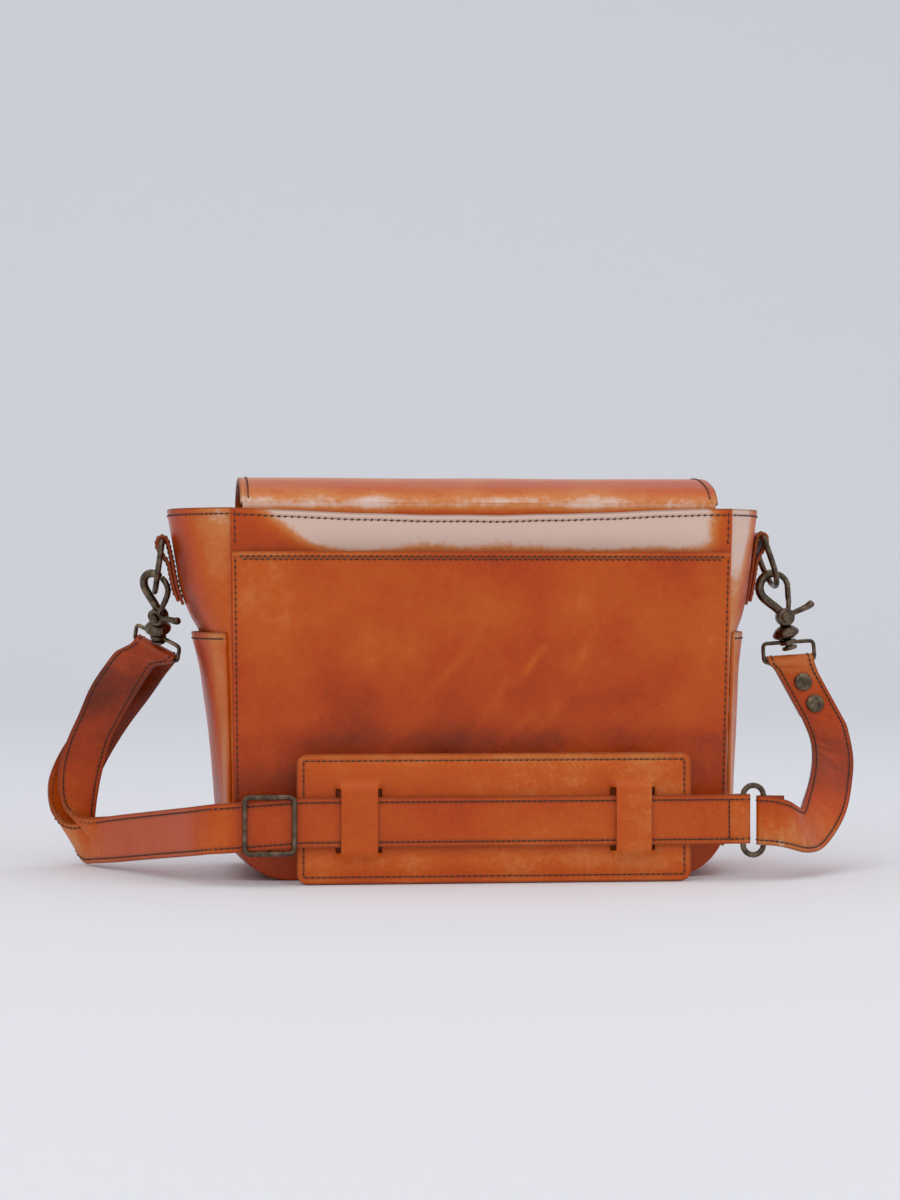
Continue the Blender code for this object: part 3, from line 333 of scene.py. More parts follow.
class Grid:
    """Points of one face of a sheet, rows by columns, in millimetres, with normals on the side of out."""

    def __init__(self, points, out=None, test=None):
        self.points = np.array(points, float)
        along = np.gradient(self.points, axis=0)
        across = np.gradient(self.points, axis=1)
        self.normals = unit(np.cross(across, along))
        rows, columns = self.points.shape[:2]
        self.turned = False
        if out is not None:
            i, j = test or (rows // 2, columns // 2)
            if self.normals[i, j] @ np.array(out, float) < 0:
                self.normals = -self.normals
                self.turned = True

    def run(self, axis):
        step = np.linalg.norm(np.diff(self.points, axis=axis), axis=2)
        pad = ((1, 0), (0, 0)) if axis == 0 else ((0, 0), (1, 0))
        return np.cumsum(np.pad(step, pad), axis=axis)

    def edge(self, sides="tblr"):
        """Distance from each point to the nearest of the named sides."""
        down, right = self.run(0), self.run(1)
        found = np.full(self.points.shape[:2], 50.0)
        for side, value in (("t", down), ("b", down[-1:] - down), ("l", right), ("r", right[:, -1:] - right)):
            if side in sides:
                found = np.minimum(found, value)
        return found

    def line(self, side, inset, trim=(0.0, 0.0)):
        """Points and normals of a line at inset from a side, with its ends trimmed."""
        run = self.run(1) if side in "lr" else self.run(0)
        data = np.concatenate([self.points, self.normals], axis=2)
        if side in "tb":
            run, data = run.T, data.transpose(1, 0, 2)
        places = []
        for r, d in zip(run, data):
            at = inset if side in "lt" else r[-1] - inset
            places.append([np.interp(at, r, d[:, k]) for k in range(6)])
        places = np.array(places)
        far = np.concatenate([[0], np.cumsum(np.linalg.norm(np.diff(places[:, :3], axis=0), axis=1))])
        keep = np.linspace(trim[0], far[-1] - trim[1], max(int(far[-1] / 2), 2))
        places = np.stack([np.interp(keep, far, places[:, k]) for k in range(6)], axis=1)
        return places[:, :3], unit(places[:, 3:])


# %% From a grid to a piece
def finished(name, data, body, nodes=(), blend=None):
    """Puts a plain mesh in the scene and ties it to a body of the CAD, or, given a blend, to nothing."""
    made = bpy.data.objects.new(name, data)
    scene.collection.objects.link(made)
    if blend:
        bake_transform(made)
    else:
        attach(made, body)
    if nodes:
        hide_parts(*nodes)
    print(name, "has", len(data.polygons), "faces")
    return made


def baked(made):
    """The mesh of an object with its modifiers worked in; the object itself goes."""
    graph = bpy.context.evaluated_depsgraph_get()
    graph.update()
    data = bpy.data.meshes.new_from_object(made.evaluated_get(graph))
    name = made.name
    bpy.data.objects.remove(made)
    data.name = name
    return data


def raw_mesh(name, points, faces, edge, tone, finish):
    data = bpy.data.meshes.new(name)
    data.from_pydata([tuple(p) for p in (np.array(points) + HOME) * MM], [], faces)
    for title, values in (("edge", edge), ("tone", tone)):
        data.attributes.new(title, "FLOAT", "POINT").data.foreach_set("value", np.array(values, np.float32))
    data.materials.append(finish)
    data.shade_smooth()
    return data


def sheet_mesh(name, grid, thickness, finish=None, sides="tblr", tone=0.0, offset=-1.0, rounding=0.5,
               skip=None, edge=None):
    """Turns a grid into leather of a thickness. skip(i, j) leaves a cell open, for slots."""
    rows, columns = grid.points.shape[:2]
    faces = []
    for i in range(rows - 1):
        for j in range(columns - 1):
            if skip is not None and skip(i, j):
                continue
            a, b, c, d = i * columns + j, i * columns + j + 1, (i + 1) * columns + j + 1, (i + 1) * columns + j
            faces.append((a, d, c, b) if grid.turned else (a, b, c, d))
    used = sorted({v for face in faces for v in face})
    index = {v: k for k, v in enumerate(used)}
    faces = [tuple(index[v] for v in face) for face in faces]
    points = grid.points.reshape(-1, 3)[used]
    edge = (grid.edge(sides) if edge is None else edge).reshape(-1)[used]
    tones = [tone(*p) if callable(tone) else tone for p in points]
    made = bpy.data.objects.new(name, raw_mesh(name, points, faces, edge, tones, finish or TAN))
    scene.collection.objects.link(made)
    solid = made.modifiers.new("thickness", "SOLIDIFY")
    solid.thickness, solid.offset, solid.use_even_offset = thickness * MM, offset, True
    solid.use_quality_normals = True
    if rounding:
        bevel = made.modifiers.new("edge", "BEVEL")
        bevel.width, bevel.segments, bevel.limit_method = rounding * MM, 2, "ANGLE"
        bevel.angle_limit = math.radians(55)
    data = baked(made)
    data.shade_smooth()
    return data


def leather(name, grid, thickness, body, nodes, finish=None, slot="tan_leather", blend=None, **how):
    """A sheet of leather made from a grid and tied to the CAD."""
    return finished(name, sheet_mesh(name, grid, thickness, finish, **how), body, nodes, blend)


def ripple(point, size, seed=0.0):
    """Soft noise from -1 to 1 that varies over a size in millimetres."""
    return noise.noise(Vector((point[0] / size + seed, point[1] / size - seed, point[2] / size + 2 * seed)))


# %% [markdown]
# ## Sewing
# A saddle stitch is a row of short slanted threads with a needle hole between each two. The places and
# directions are gathered here piece by piece, and one Geometry Nodes tree later puts a stitch at each of them.
# That keeps thousands of stitches in a few meshes, two for each part that moves.

# %% Gathering stitches
SEWN = {}
PITCH = 3.5


def sew(body, line, both=0.0, slant=9.0, pitch=PITCH, proud=0.12):
    """Adds a row of stitches. both is the leather's thickness where the row also shows on the other face."""
    points, normals = line
    far = np.concatenate([[0], np.cumsum(np.linalg.norm(np.diff(points, axis=0), axis=1))])
    count = max(int(round(far[-1] / pitch)), 1)
    data = np.concatenate([points, normals], axis=1)
    for shift, kind in ((0.5, "thread"), (0.0, "hole")):
        at = (np.arange(count) + shift) * far[-1] / count
        at_next = at + 0.4
        here = np.stack([np.interp(at, far, data[:, k]) for k in range(6)], axis=1)
        ahead = np.stack([np.interp(at_next, far, data[:, k]) for k in range(3)], axis=1)
        behind = np.stack([np.interp(at - 0.4, far, data[:, k]) for k in range(3)], axis=1)
        along, normal = unit(ahead - behind), unit(here[:, 3:])
        turn = math.radians(slant)
        direction = along * math.cos(turn) + np.cross(normal, along) * math.sin(turn)
        rise = proud if kind == "thread" else 0.02
        faces = [(here[:, :3] + normal * rise, direction)]
        if both:
            faces.append((here[:, :3] - normal * (both + rise), direction))
        SEWN.setdefault((body, kind), []).extend(faces)


# %% [markdown]
# ## The body of the bag
# Flat panels front and back, and gussets between them that bulge past the side seams. The gussets are lofted by
# a rule: how far they stand out at each height, times a soft arch across the depth. A little noise keeps the
# walls from being as flat as sheet metal.

# %% Measures of the body
DEPTH, RIM, SEAM_TOP, SEAM_LOW, CORNER = 120.0, 229.0, (-155.0, 157.5), 153.0, 34.0
MIDDLE, SEAM_GAP, SEAM_PITCH = DEPTH / 2, 1.9, 3.9
BACK_SKIN, FRONT_SKIN, WALL_SKIN, POCKET_SKIN = 2.2, 2.3, 2.2, 2.0
BASE_SKIN, FACING_SKIN, ROOT_SKIN, CLOSURE_SKIN = 2.1, 1.4, 2.0, 2.4
BACK_POCKET_TOP, SIDE_POCKET_TOP, LOW_TURN = 202.0, 152.0, math.radians(28)
GUSSET = {-1: ((34, 6.5), (45, 6.5), (96, 8.5), (130, 12.5), (152, 17.5), (160, 24.0), (180, 31.5), (209, 36.0),
               (229, 39.0)),
          1: ((34, 8.0), (45, 8.0), (96, 7.5), (130, 8.5), (152, 11.5), (160, 16.5), (180, 20.5), (209, 24.0),
              (229, 26.5))}
POUCH = {-1: ((34, 9.5), (45, 10.5), (96, 14.5), (130, 19.0), (152, 24.5)),
         1: ((34, 12.5), (45, 13.0), (96, 14.0), (130, 15.0), (152, 17.6))}
SIDES = ((-1, "left"), (1, "right"))


def seam(side, z):
    top = SEAM_TOP[0] if side < 0 else SEAM_TOP[1]
    share = np.clip((z - CORNER) / (RIM - CORNER), 0, 1)
    return side * SEAM_LOW + (top - side * SEAM_LOW) * share


def standing(table, z):
    """How far a gusset stands out at a height, with the corners of its table smoothed."""
    heights, values = zip(*table)
    return sum(w * np.interp(z + d, heights, values) for d, w in ((-6, 0.25), (0, 0.5), (6, 0.25)))


def arch(share):
    return (1 - abs(2 * share - 1) ** 2.4) ** 0.8


def gusset_point(side, table, z, turn, share):
    """A point of a gusset: a height and a share of the depth, or a turn round the lower corner."""
    out = standing(table, z) * arch(share)
    y = SEAM_GAP + (DEPTH - 2 * SEAM_GAP) * share
    if turn is None:
        return (seam(side, z) + side * out, y, z)
    heart = SEAM_LOW - CORNER
    return (side * (heart + (CORNER + out) * math.cos(turn)), y, CORNER - CORNER * math.sin(turn))


def round_corner(x, z, heart_x, heart_z, radius):
    """Moves a point of a square corner onto a round one."""
    a, b = (abs(x) - heart_x) / radius, (heart_z - z) / radius
    if a <= 0 or b <= 0:
        return x, z
    a, b = min(a, 1.0), min(b, 1.0)
    return (math.copysign(heart_x + radius * a * math.sqrt(1 - b * b / 2), x),
            heart_z - radius * b * math.sqrt(1 - a * a / 2))


def bell(value, middle, width):
    return math.exp(-((value - middle) / width) ** 2)


# %% Panels
def panel_grid(y, top, inset=0.0, columns=90, rows=64):
    points = []
    for k in range(rows + 1):
        z = top - (top - inset) * k / rows
        row = []
        for u in np.linspace(0, 1, columns + 1):
            x = seam(-1, z) + inset + (seam(1, z) - seam(-1, z) - 2 * inset) * u
            if z < CORNER:
                x = (2 * u - 1) * (SEAM_LOW - inset)
            x, height = round_corner(x, z, SEAM_LOW - CORNER, CORNER, CORNER - inset)
            row.append((x, y(x, height), height))
        points.append(row)
    return points


def rim_sag(x):
    """How far the worn rim of the back hangs below its corners."""
    u = (x + 10) / 150
    return 4.4 * max(1 - u * u, 0) ** 1.3 + 0.35 * ripple((x, 0, 0), 24)


def back_face(x, z):
    return 0.3 - 0.7 * bell(z, 216, 10) + 0.15 * ripple((x, 0, z), 45)


# The pale band between the rim and the pocket (lit) is a painted sheen of reflected light that fades out towards
# the left seam. Outside it the panel is painted a little darker.
def back_tone(x, y, z):
    across = 1 / (1 + math.exp(-(x + 137 - 1.3 * (226 - z)) / 5)) / (1 + math.exp((x - 147) / 4))
    lit = 1 / (1 + math.exp((202 - z) / 2.2)) * (0.95 + 0.12 * bell(x, -85, 40) + 0.1 * bell(x, 75, 60))
    return 1.75 * lit * across + 0.15 * ripple((x, 1, z), 26) - 0.25 * (1 - across)


back = Grid(panel_grid(back_face, RIM), (0, -1, 0))
for row in back.points:
    for p in row:
        p[2] -= rim_sag(p[0]) * np.clip((p[2] - 203) / 26, 0, 1)
leather("back_panel_leather", back, BACK_SKIN, "bag", ("back_panel",), RUBBED, tone=back_tone, sides="t")
sew("bag", back.line("t", 4.2, (3, 3)), both=BACK_SKIN, pitch=4.1, slant=12)
for side in "lr":
    sew("bag", back.line(side, 2.4, (2, 200)), slant=10, pitch=SEAM_PITCH)


def front_face(x, z):
    return DEPTH + 0.1 + 0.2 * ripple((x, 9, z), 60)


front = Grid(panel_grid(front_face, RIM, columns=60, rows=44), (0, 1, 0))
leather("front_panel_leather", front, FRONT_SKIN, "bag", ("front_panel",))
sew("bag", front.line("t", 4.0, (3, 3)), both=FRONT_SKIN)
for side in "lr":
    sew("bag", front.line(side, 3.4, (2, 30)))


# %% [markdown]
# ## Back slip pocket
# A flat pocket for papers, sewn on at its sides and foot and open at the top. It bellies out a little, and soft
# slanting creases show where it has been pushed in. A sculpted mesh or a cloth run could give such folds. A
# formula is used, because the same crease then lifts the surface and makes its tone paler.

# %% Back slip pocket
CREASES = ((-22, 128, 50, 42, 1.0), (8, 112, 58, 40, 0.8), (30, 132, 52, 34, 1.0), (46, 104, 48, 30, 0.7),
           (-42, 96, 40, 26, 0.6), (62, 140, 60, 24, 0.8), (20, 92, 35, 30, 0.8), (-66, 134, 40, 22, 0.4))


def crease(x, z):
    """Soft diagonal pull-up creases: each has a middle, a lean in degrees, a length and a weight."""
    total = 0.0
    for cx, cz, lean, long, weight in CREASES:
        a = math.radians(lean)
        along = (x - cx) * math.cos(a) + (z - cz) * math.sin(a)
        off = -(x - cx) * math.sin(a) + (z - cz) * math.cos(a) + 3.0 * ripple((x, 3, z), 18, cx)
        total += weight * math.exp(-(along / long * 1.8) ** 2 - (off / 2.6) ** 2)
    return total


def pocket_face(x, z):
    half = (seam(1, z) - seam(-1, z)) / 2 - 0.6
    u = np.clip((x - (seam(1, z) + seam(-1, z)) / 2) / half, -1, 1)
    rise = np.clip((z - 5) / 55, 0, 1)
    rise = rise * rise * (3 - 2 * rise)
    off = 0.3 + 5.6 * (1 - abs(u) ** 5) * rise
    folds = 0.45 * crease(x, z) + 0.5 * ripple((x, 1, z), 38) + 0.2 * ripple((x, 5, z), 14)
    return -off - 2.0 - folds * min(rise * 1.5, 1.0) * (1 - abs(u) ** 6)


# low is painted shade just above the shoulder pad and behind it. glow is a painted sheen at the left side and
# high on the pocket.
def pocket_tone(x, y, z):
    low = 0.35 * bell(z, 86, 8) + 0.75 * bell(z, 58, 24)
    glow = 0.35 * bell(x, -128, 30) * bell(z, 120, 90) + 0.25 * bell(z, 168, 26)
    return 0.95 * crease(x, z) * (0.45 + 0.8 * max(ripple((x, 7, z), 12), 0)) - low + glow \
        + 0.3 * bell(z, 199.5, 2.0) + 0.35 * ripple((x, 11, z), 34)


pocket = Grid(panel_grid(pocket_face, BACK_POCKET_TOP, inset=0.6, columns=130, rows=90), (0, -1, 0))
leather("back_pocket_leather", pocket, POCKET_SKIN, "bag", ("back_pocket",), PULL_UP, tone=pocket_tone,
        sides="t")
sew("bag", pocket.line("t", 3.2, (4, 4)), slant=24, pitch=3.6)
sew("bag", pocket.line("t", 5.0, (6, 6)), slant=-24, pitch=3.6)
for side in "lr":
    sew("bag", pocket.line(side, 1.9, (4, 30)), pitch=SEAM_PITCH)


# %% [markdown]
# ## Gussets and their pockets
# The side walls run down, turn round the lower corners and end at the base, and each carries an open pocket.
# Each could be a plane bent by a lattice. Here rows of points are lofted from the tables of heights, so that
# wall, pocket and CAD keep to the same measures.

# %% Gussets and their pockets
def wall_grid(side, table, top, low_turn, shares, shape, rows=46):
    points = []
    places = [(z, None) for z in np.linspace(top, CORNER, rows)] + \
             [(CORNER, low_turn * k / 16) for k in range(1, 17)]
    for z, turn in places:
        row = []
        for s in shares:
            row.append(shape(np.array(gusset_point(side, table, z, turn, s)), s, z, turn))
        points.append(row)
    return points


def gusset_folds(p, s, z, turn):
    fold = 0.7 * ripple((0, p[1] * 1.6, z * 0.35), 30) * min(s, 1 - s) * 4
    return p + np.array((fold * (0 if turn else 1), 0, 0))


# The middle of the depth and, on the right gusset, the band near the back seam are painted paler as a sheen. The
# left gusset is also paler near the seam, and each gusset is darker a third of the way across and at the foot.
def gusset_tone(x, y, z):
    near = 0.4 * bell(y, 4, 12) if x < 0 else 0.95 * bell(y, 4, 13) + 0.8 * bell(y, 10, 16) * bell(z, 212, 24)
    return near - 1.05 * bell(y, 34, 15) * bell(z, 185, 60) + 0.45 * bell(y, 54, 9) \
        + 0.35 * bell(z, 219, 9) * bell(y, 28, 30) - 0.8 * bell(z, 8, 14) + 0.15


def pouch_tone(x, y, z):
    return 0.7 * bell(y, 9, 9) - 0.7 * bell(y, 33, 12) + 0.4 * bell(z, 149, 3) + 0.15


shares = np.linspace(0, 1, 41)
for side, word in SIDES:
    wall = Grid(wall_grid(side, GUSSET[side], RIM, math.pi / 2, shares, gusset_folds), (side, 0, 0), (20, 20))
    leather("gusset_leather_" + word, wall, WALL_SKIN, "bag", ("gusset_" + word,), tone=gusset_tone, sides="t")
    sew("bag", wall.line("t", 4.0, (1, 1)), both=WALL_SKIN)

    def pouch_shape(p, s, z, turn, side=side):
        inner = np.array(gusset_point(side, GUSSET[side], z, turn, s))
        least = abs(inner[0]) + 2.3
        edge = np.clip(min(s - 0.012, 0.988 - s) / 0.07, 0, 1)
        foot = (turn or 0) / LOW_TURN
        share = edge * (1 - foot)
        x = side * (least + (max(abs(p[0]) + 0.5 * ripple((0, p[1], z * 0.5), 22), least) - least) * share)
        return np.array((x, p[1], inner[2]))

    pouch = Grid(wall_grid(side, POUCH[side], SIDE_POCKET_TOP, LOW_TURN, np.linspace(0.012, 0.988, 40),
                           pouch_shape, rows=36), (side, 0, 0), (14, 18))
    leather("side_pocket_leather_" + word, pouch, POCKET_SKIN, "bag", ("side_pocket_" + word,), tone=pouch_tone,
            sides="t")
    sew("bag", pouch.line("t", 4.0, (2, 2)))

# %% [markdown]
# ## Base and facing
# The base is a plain strip of leather between the feet of the gussets, and the facing is a band sewn inside the
# mouth that stiffens the rim. One closed ring of points makes the band in one piece.

# %% Base and facing
BASE_HALF = 115.8
base_xs, base_ys = np.linspace(-BASE_HALF, BASE_HALF, 60), np.linspace(3, DEPTH - 3, 30)
base = Grid([[(x, y, 0.2) for x in base_xs] for y in base_ys], (0, 0, -1))
leather("base_leather", base, BASE_SKIN, "bag", ("base_panel",), tone=-0.5)
for side in "tb":
    sew("bag", base.line(side, 4.0, (2, 2)), proud=0.05)


def facing_ring():
    shares = np.linspace(0.08, 0.92, 24)
    ring = [(x, 5.0) for x in np.linspace(148, -148, 40)]
    for side, order in ((-1, shares), (1, shares[::-1])):
        if side > 0:
            ring += [(x, DEPTH - 3) for x in np.linspace(-148, 148, 40)]
        ring += [(side, s) for s in order]
    rows = []
    for z in np.linspace(228.4, 207.2, 9):
        row = []
        for a, b in ring:
            if abs(a) == 1:
                p = gusset_point(a, GUSSET[a], z, None, b)
                row.append((p[0] - a * 3.0, p[1], z))
            else:
                row.append((a, b, z))
        row.append(row[0])
        rows.append(row)
    return rows


facing = Grid(facing_ring(), (0, 1, 0), (4, 20))
leather("rim_facing_leather", facing, FACING_SKIN, "bag", ("rim_facing",), tone=-0.2, sides="tb")

# %% [markdown]
# ## The flap
# The flap is one piece of leather that rises from a strip sewn inside the back, arches over the mouth and falls
# down the front. It is one sheet laid over the two moving parts of the CAD as they stand, and it is tied to
# neither of them. The strip lies in the same way between the bag and the flap.

# %% Flap
FLAP_HALF, FLAP_THICK, FLAP_ROUND, FLAP_LOW = 149.0, 2.5, 35.0, 75.0
ARCH = ((3.9, 231.6), (6.5, 236.5), (15, 241.0), (38, 246.6), (62, 248.8), (88, 247.4), (108, 243.0),
        (120, 237.6), (124.4, 232.8), (125.4, 226.0), (125.5, 215.0), (125.5, 170.0), (125.5, 120.0),
        (125.5, FLAP_LOW))


def even_run(points, step, passes=3):
    """Points along a polyline at an even step, with its corners eased."""
    points = np.array(points, float)
    shape = points.shape
    flat = points.reshape(shape[0], -1)
    middle = flat if points.ndim == 2 else points.mean(axis=1)
    far = np.concatenate([[0], np.cumsum(np.linalg.norm(np.diff(middle, axis=0), axis=1))])
    at = np.linspace(0, far[-1], max(int(far[-1] / step), 2) + 1)
    found = np.stack([np.interp(at, far, flat[:, k]) for k in range(flat.shape[1])], axis=1)
    for _ in range(passes):
        found[1:-1] = found[1:-1] * 0.5 + (found[:-2] + found[2:]) * 0.25
    return found.reshape(-1, *shape[1:])


def flap_rows():
    rows = []
    for y, z in even_run(ARCH, 3.0, passes=6):
        row = []
        for x in np.linspace(-FLAP_HALF, FLAP_HALF, 91):
            px, pz = x, z
            if y > 124 and z < FLAP_LOW + FLAP_ROUND:
                px, pz = round_corner(x, z, FLAP_HALF - FLAP_ROUND, FLAP_LOW + FLAP_ROUND, FLAP_ROUND)
            soft = 0.5 * ripple((x, y * 0.8, z * 0.8), 70)
            row.append((px, y + (soft if z < 220 else 0), pz + (soft * 0.8 if z > 236 else 0)))
        rows.append(row)
    return rows


# The flap is paler where it rises out of the back, a painted highlight, and darker a little higher on the arch.
def flap_tone(x, y, z):
    above = np.clip((z - 231) / 3, 0, 1)
    dark = 0.75 * bell(y, 24, 12) * above * (0.75 + 0.5 * ripple((x, 2, 0), 60))
    return 0.72 - dark + 0.25 * bell(x, 20, 60) + 0.65 * bell(y, 4, 4) * (0.7 + 0.6 * ripple((x, 5, 0), 40))


FOLD = ((0, (118.0 - MIDDLE) * MM, 0.2385), (0, (126.0 - MIDDLE) * MM, 0.2250))
flap = Grid(flap_rows(), (0, 0, 1), (20, 45))
leather("flap_leather", flap, FLAP_THICK, None, ("flap_top", "flap_front"), PULL_UP,
        blend=("flap_top", "flap_front", *FOLD), tone=flap_tone, offset=0.0, sides="lrb")


def raised(line, by):
    return line[0] + line[1] * by, line[1]


for side in "lr":
    sew("flap", raised(flap.line(side, 5.0, (3, 3)), FLAP_THICK / 2), both=FLAP_THICK)
sew("flap", raised(flap.line("b", 5.0, (30, 30)), FLAP_THICK / 2), both=FLAP_THICK)

# %% The strip that the flap is sewn to
ROOT = ((4.1, 206.0), (4.1, 222.0), (4.0, 229.0), (3.9, 232.4))
root_rows = [[(x, y, z) for x in np.linspace(-147.5, 147.5, 60)] for y, z in even_run(ROOT, 1.6)]
root = Grid(root_rows, (0, -1, 0))


# The strip is paler at the top of the rim: a painted highlight.
def root_tone(x, y, z):
    return 0.2 + 1.1 * bell(z, 231, 4)


leather("flap_root_leather", root, ROOT_SKIN, None, ("flap_spine",),
        blend=("bag", "flap_top", (0, 0, 0.2285), (0, 0, 0.2330)), offset=0.0, sides="", tone=root_tone)

# %% [markdown]
# ## Closure straps
# Two narrow straps hang from the buckles on the front and end in a round tip. A curve with a flat profile could
# make them too. A grid with its lower corners rounded gives the lines for the sewing as well.

# %% Closure straps
CLOSURE_HALF, CLOSURE_TOP, CLOSURE_LOW = 11.0, 160.0, 42.0
CLOSURE_X, CLOSURE_FACE = 78.0, 129.6
for side, word in SIDES:
    middle = side * CLOSURE_X
    rows = []
    for z in np.linspace(CLOSURE_TOP, CLOSURE_LOW, 50):
        row = []
        for x in np.linspace(-CLOSURE_HALF, CLOSURE_HALF, 13):
            px, pz = round_corner(x, z, 0.0, CLOSURE_LOW + CLOSURE_HALF, CLOSURE_HALF)
            row.append((middle + px, CLOSURE_FACE, pz))
        rows.append(row)
    strap = Grid(rows, (0, 1, 0))
    body = "closure_" + word
    leather("closure_leather_" + word, strap, CLOSURE_SKIN, body, ("closure_strap_" + word,), tone=0.3)
    for edge_side in "lr":
        sew(body, strap.line(edge_side, 2.8, (3, 12)))

# %% [markdown]
# ## Padded insert
# Walls of foam in brushed cloth stand inside the bag, and two dividers part the space into three rooms. Each
# wall is a crowned pad: full in the middle, thinner and rounded where its cloth is sewn shut.


# %% Insert
def pad_block(node, body, thin):
    low, high = (np.array(v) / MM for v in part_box(node))
    mesh = bmesh.new()
    bmesh.ops.create_cube(mesh, size=2.0)
    bmesh.ops.subdivide_edges(mesh, edges=mesh.edges[:], cuts=17, use_grid_fill=True)
    middle, half = (low + high) / 2, (high - low) / 2
    wide = [k for k in range(3) if k != thin]
    for vert in mesh.verts:
        share = np.array(vert.co)
        place = middle + half * share
        rim = max(abs(share[k]) ** (half[k] / 9.0) for k in wide)
        place[thin] = middle[thin] + half[thin] * share[thin] * (1 - 0.42 * rim) \
            * (0.985 + 0.015 * ripple(place, 20))
        vert.co = place * MM
    bmesh.ops.recalc_face_normals(mesh, faces=mesh.faces)
    name = node + "_cloth"
    data = bpy.data.meshes.new(name)
    mesh.to_mesh(data)
    mesh.free()
    data.materials.append(CLOTH)
    made = bpy.data.objects.new(name, data)
    scene.collection.objects.link(made)
    rounding = made.modifiers.new("rounding", "BEVEL")
    rounding.width, rounding.segments, rounding.angle_limit = 1.4 * MM, 3, math.radians(50)
    data = baked(made)
    data.shade_smooth()
    piece = finished(name, data, body, (node,))


for node, thin in (("insert_base", 2), ("insert_left", 0), ("insert_right", 0), ("insert_back", 1),
                   ("insert_front", 1)):
    pad_block(node, "bag", thin)
for side, word in SIDES:
    pad_block("divider_" + word, "divider_" + word, 0)

# %% [markdown]
# ## Strips
# The strap, the short strap, the ring tabs and the strap end are strips of one width that turn round rings and
# bails. Each follows pairs of edge points, the same stations that its CAD solid follows. Where a strip bends
# sharply it is painted paler, a painted highlight, so its tone comes from the bend.

# %% Strips
STRAP, STRAP_THICK, STRAP_Y, STRAP_Z = 30.0, 2.8, -34.0, 38.0
STRAP_SKIN, STRIP_STEP = STRAP_THICK - 0.1, 1.6
SHARES = np.array((0, 0.025, 0.07, 0.14, 0.24, 0.37, 0.5, 0.63, 0.76, 0.86, 0.93, 0.975, 1.0))


def strip_grid(stations, step=STRIP_STEP):
    """Rows along the strip and columns across it."""
    edges = even_run([(a, b) for a, b in stations], step)
    a, b = edges[:, 0], edges[:, 1]
    points = a[:, None] + (b - a)[:, None] * SHARES[None, :, None]
    grid = Grid(points)
    middle = points.mean(axis=1)
    bend = np.zeros(len(middle))
    bend[2:-2] = np.linalg.norm(middle[4:] - 2 * middle[2:-2] + middle[:-4], axis=1) / (2 * step) ** 2
    grid.bend = np.convolve(np.pad(bend, 6, mode="edge"), np.ones(13) / 13, mode="valid")
    return grid


# pull sets how much a bend pales the strip, which is a painted highlight. dark sets a band of painted shade.
def strip_tone(grid, base=0.3, pull=9.0, crinkle=0.0, seed=0.0, dark=(0, 1, 0)):
    """Strip tones: painted highlight in bends, crinkled there, painted shade round a height, width and weight."""
    tones = np.zeros(grid.points.shape[:2])
    for i, row in enumerate(grid.points):
        for j, p in enumerate(row):
            along = i * STRIP_STEP
            lines = max(noise.noise(Vector((along / 3.0, SHARES[j] * 1.2, seed))), 0) * crinkle \
                * min(grid.bend[i] * 60, 1.0)
            soft = 0.22 * noise.noise(Vector((along / 26.0, SHARES[j] * 1.5, seed + 4)))
            shade = dark[2] * bell(p[2], dark[0], dark[1])
            tones[i, j] = base + min(grid.bend[i] * pull, 0.4) + lines + soft - shade
    return tones


def wrap(middle, across, out, radius, half, first=-90.0, last=90.0, turns=14):
    """Stations of a strip that goes round a bar, as in the CAD."""
    middle, across, out = Vector(middle), Vector(across).normalized(), Vector(out).normalized()
    out = (out - across * out.dot(across)).normalized()
    side = out.cross(across)
    found = []
    for k in range(turns + 1):
        a = math.radians(first + (last - first) * k / turns)
        place = middle + (side * math.sin(a) + out * math.cos(a)) * radius
        found.append((place + across * half, place - across * half))
    return found


def face_to(stations, like):
    """Turns each pair so that it lies the same way round as the pair like."""
    run = Vector(like[0]) - Vector(like[1])
    return [(b, a) if (a - b).dot(run) < 0 else (a, b) for a, b in stations]


def level_rows(places, z, half=STRAP / 2):
    return [((x, y, z + half), (x, y, z - half)) for x, y in places]


def smooth_stations(stations, steps=5):
    """Catmull-Rom stations, which bend like leather between the given ones."""
    points = np.array(stations, float)
    run = []
    last = len(points) - 1
    for i in range(last):
        p0, p1, p2, p3 = points[max(i - 1, 0)], points[i], points[i + 1], points[min(i + 2, last)]
        for t in np.arange(steps) / steps:
            run.append(0.5 * (2 * p1 + (p2 - p0) * t + (2 * p0 - 5 * p1 + 4 * p2 - p3) * t * t
                              + (3 * p1 - p0 - 3 * p2 + p3) * t ** 3))
    run.append(points[-1])
    return [(Vector(a), Vector(b)) for a, b in run]


# %% [markdown]
# ## Shoulder strap and short strap
# The strap lies along the back of the bag, turns round the oval ring at its right end, climbs at its left end to
# the hook, goes over the hook's bail and comes back to the slider. The short strap joins the oval ring to the
# other hook. A curve with a flat profile would twist at these turns, so both edges are given and eased together.

# %% Hooks: where they stand
EYE_HIGH, BAIL_DROP, BAIL_LEAN = 36.6, 12.5, math.radians(11.5)
EYE = {-1: (-200.5, 60.0, 180.5), 1: (197.0, 60.0, 180.0)}
HOOK_UP = {-1: (-0.04, -0.52, 0.853), 1: (-0.263, 0.0, 0.965)}
HOOK_ACROSS = {-1: (0.82, -0.48, -0.30), 1: (0.965, 0.0, 0.263)}
BAIL_TURN = 1.4 + 0.8 + STRAP_THICK / 2


def hook_frame(side):
    """The bar of the bail that the strap goes round: its middle, the way along it and the way up."""
    up = Vector(HOOK_UP[side]).normalized()
    across = Vector(HOOK_ACROSS[side])
    across = (across - up * across.dot(up)).normalized()
    base = Vector(EYE[side]) - up * EYE_HIGH
    bail_across = across * math.cos(BAIL_LEAN) - up * math.sin(BAIL_LEAN)
    bail_up = up * math.cos(BAIL_LEAN) + across * math.sin(BAIL_LEAN)
    return base - bail_up * BAIL_DROP, bail_across, bail_up


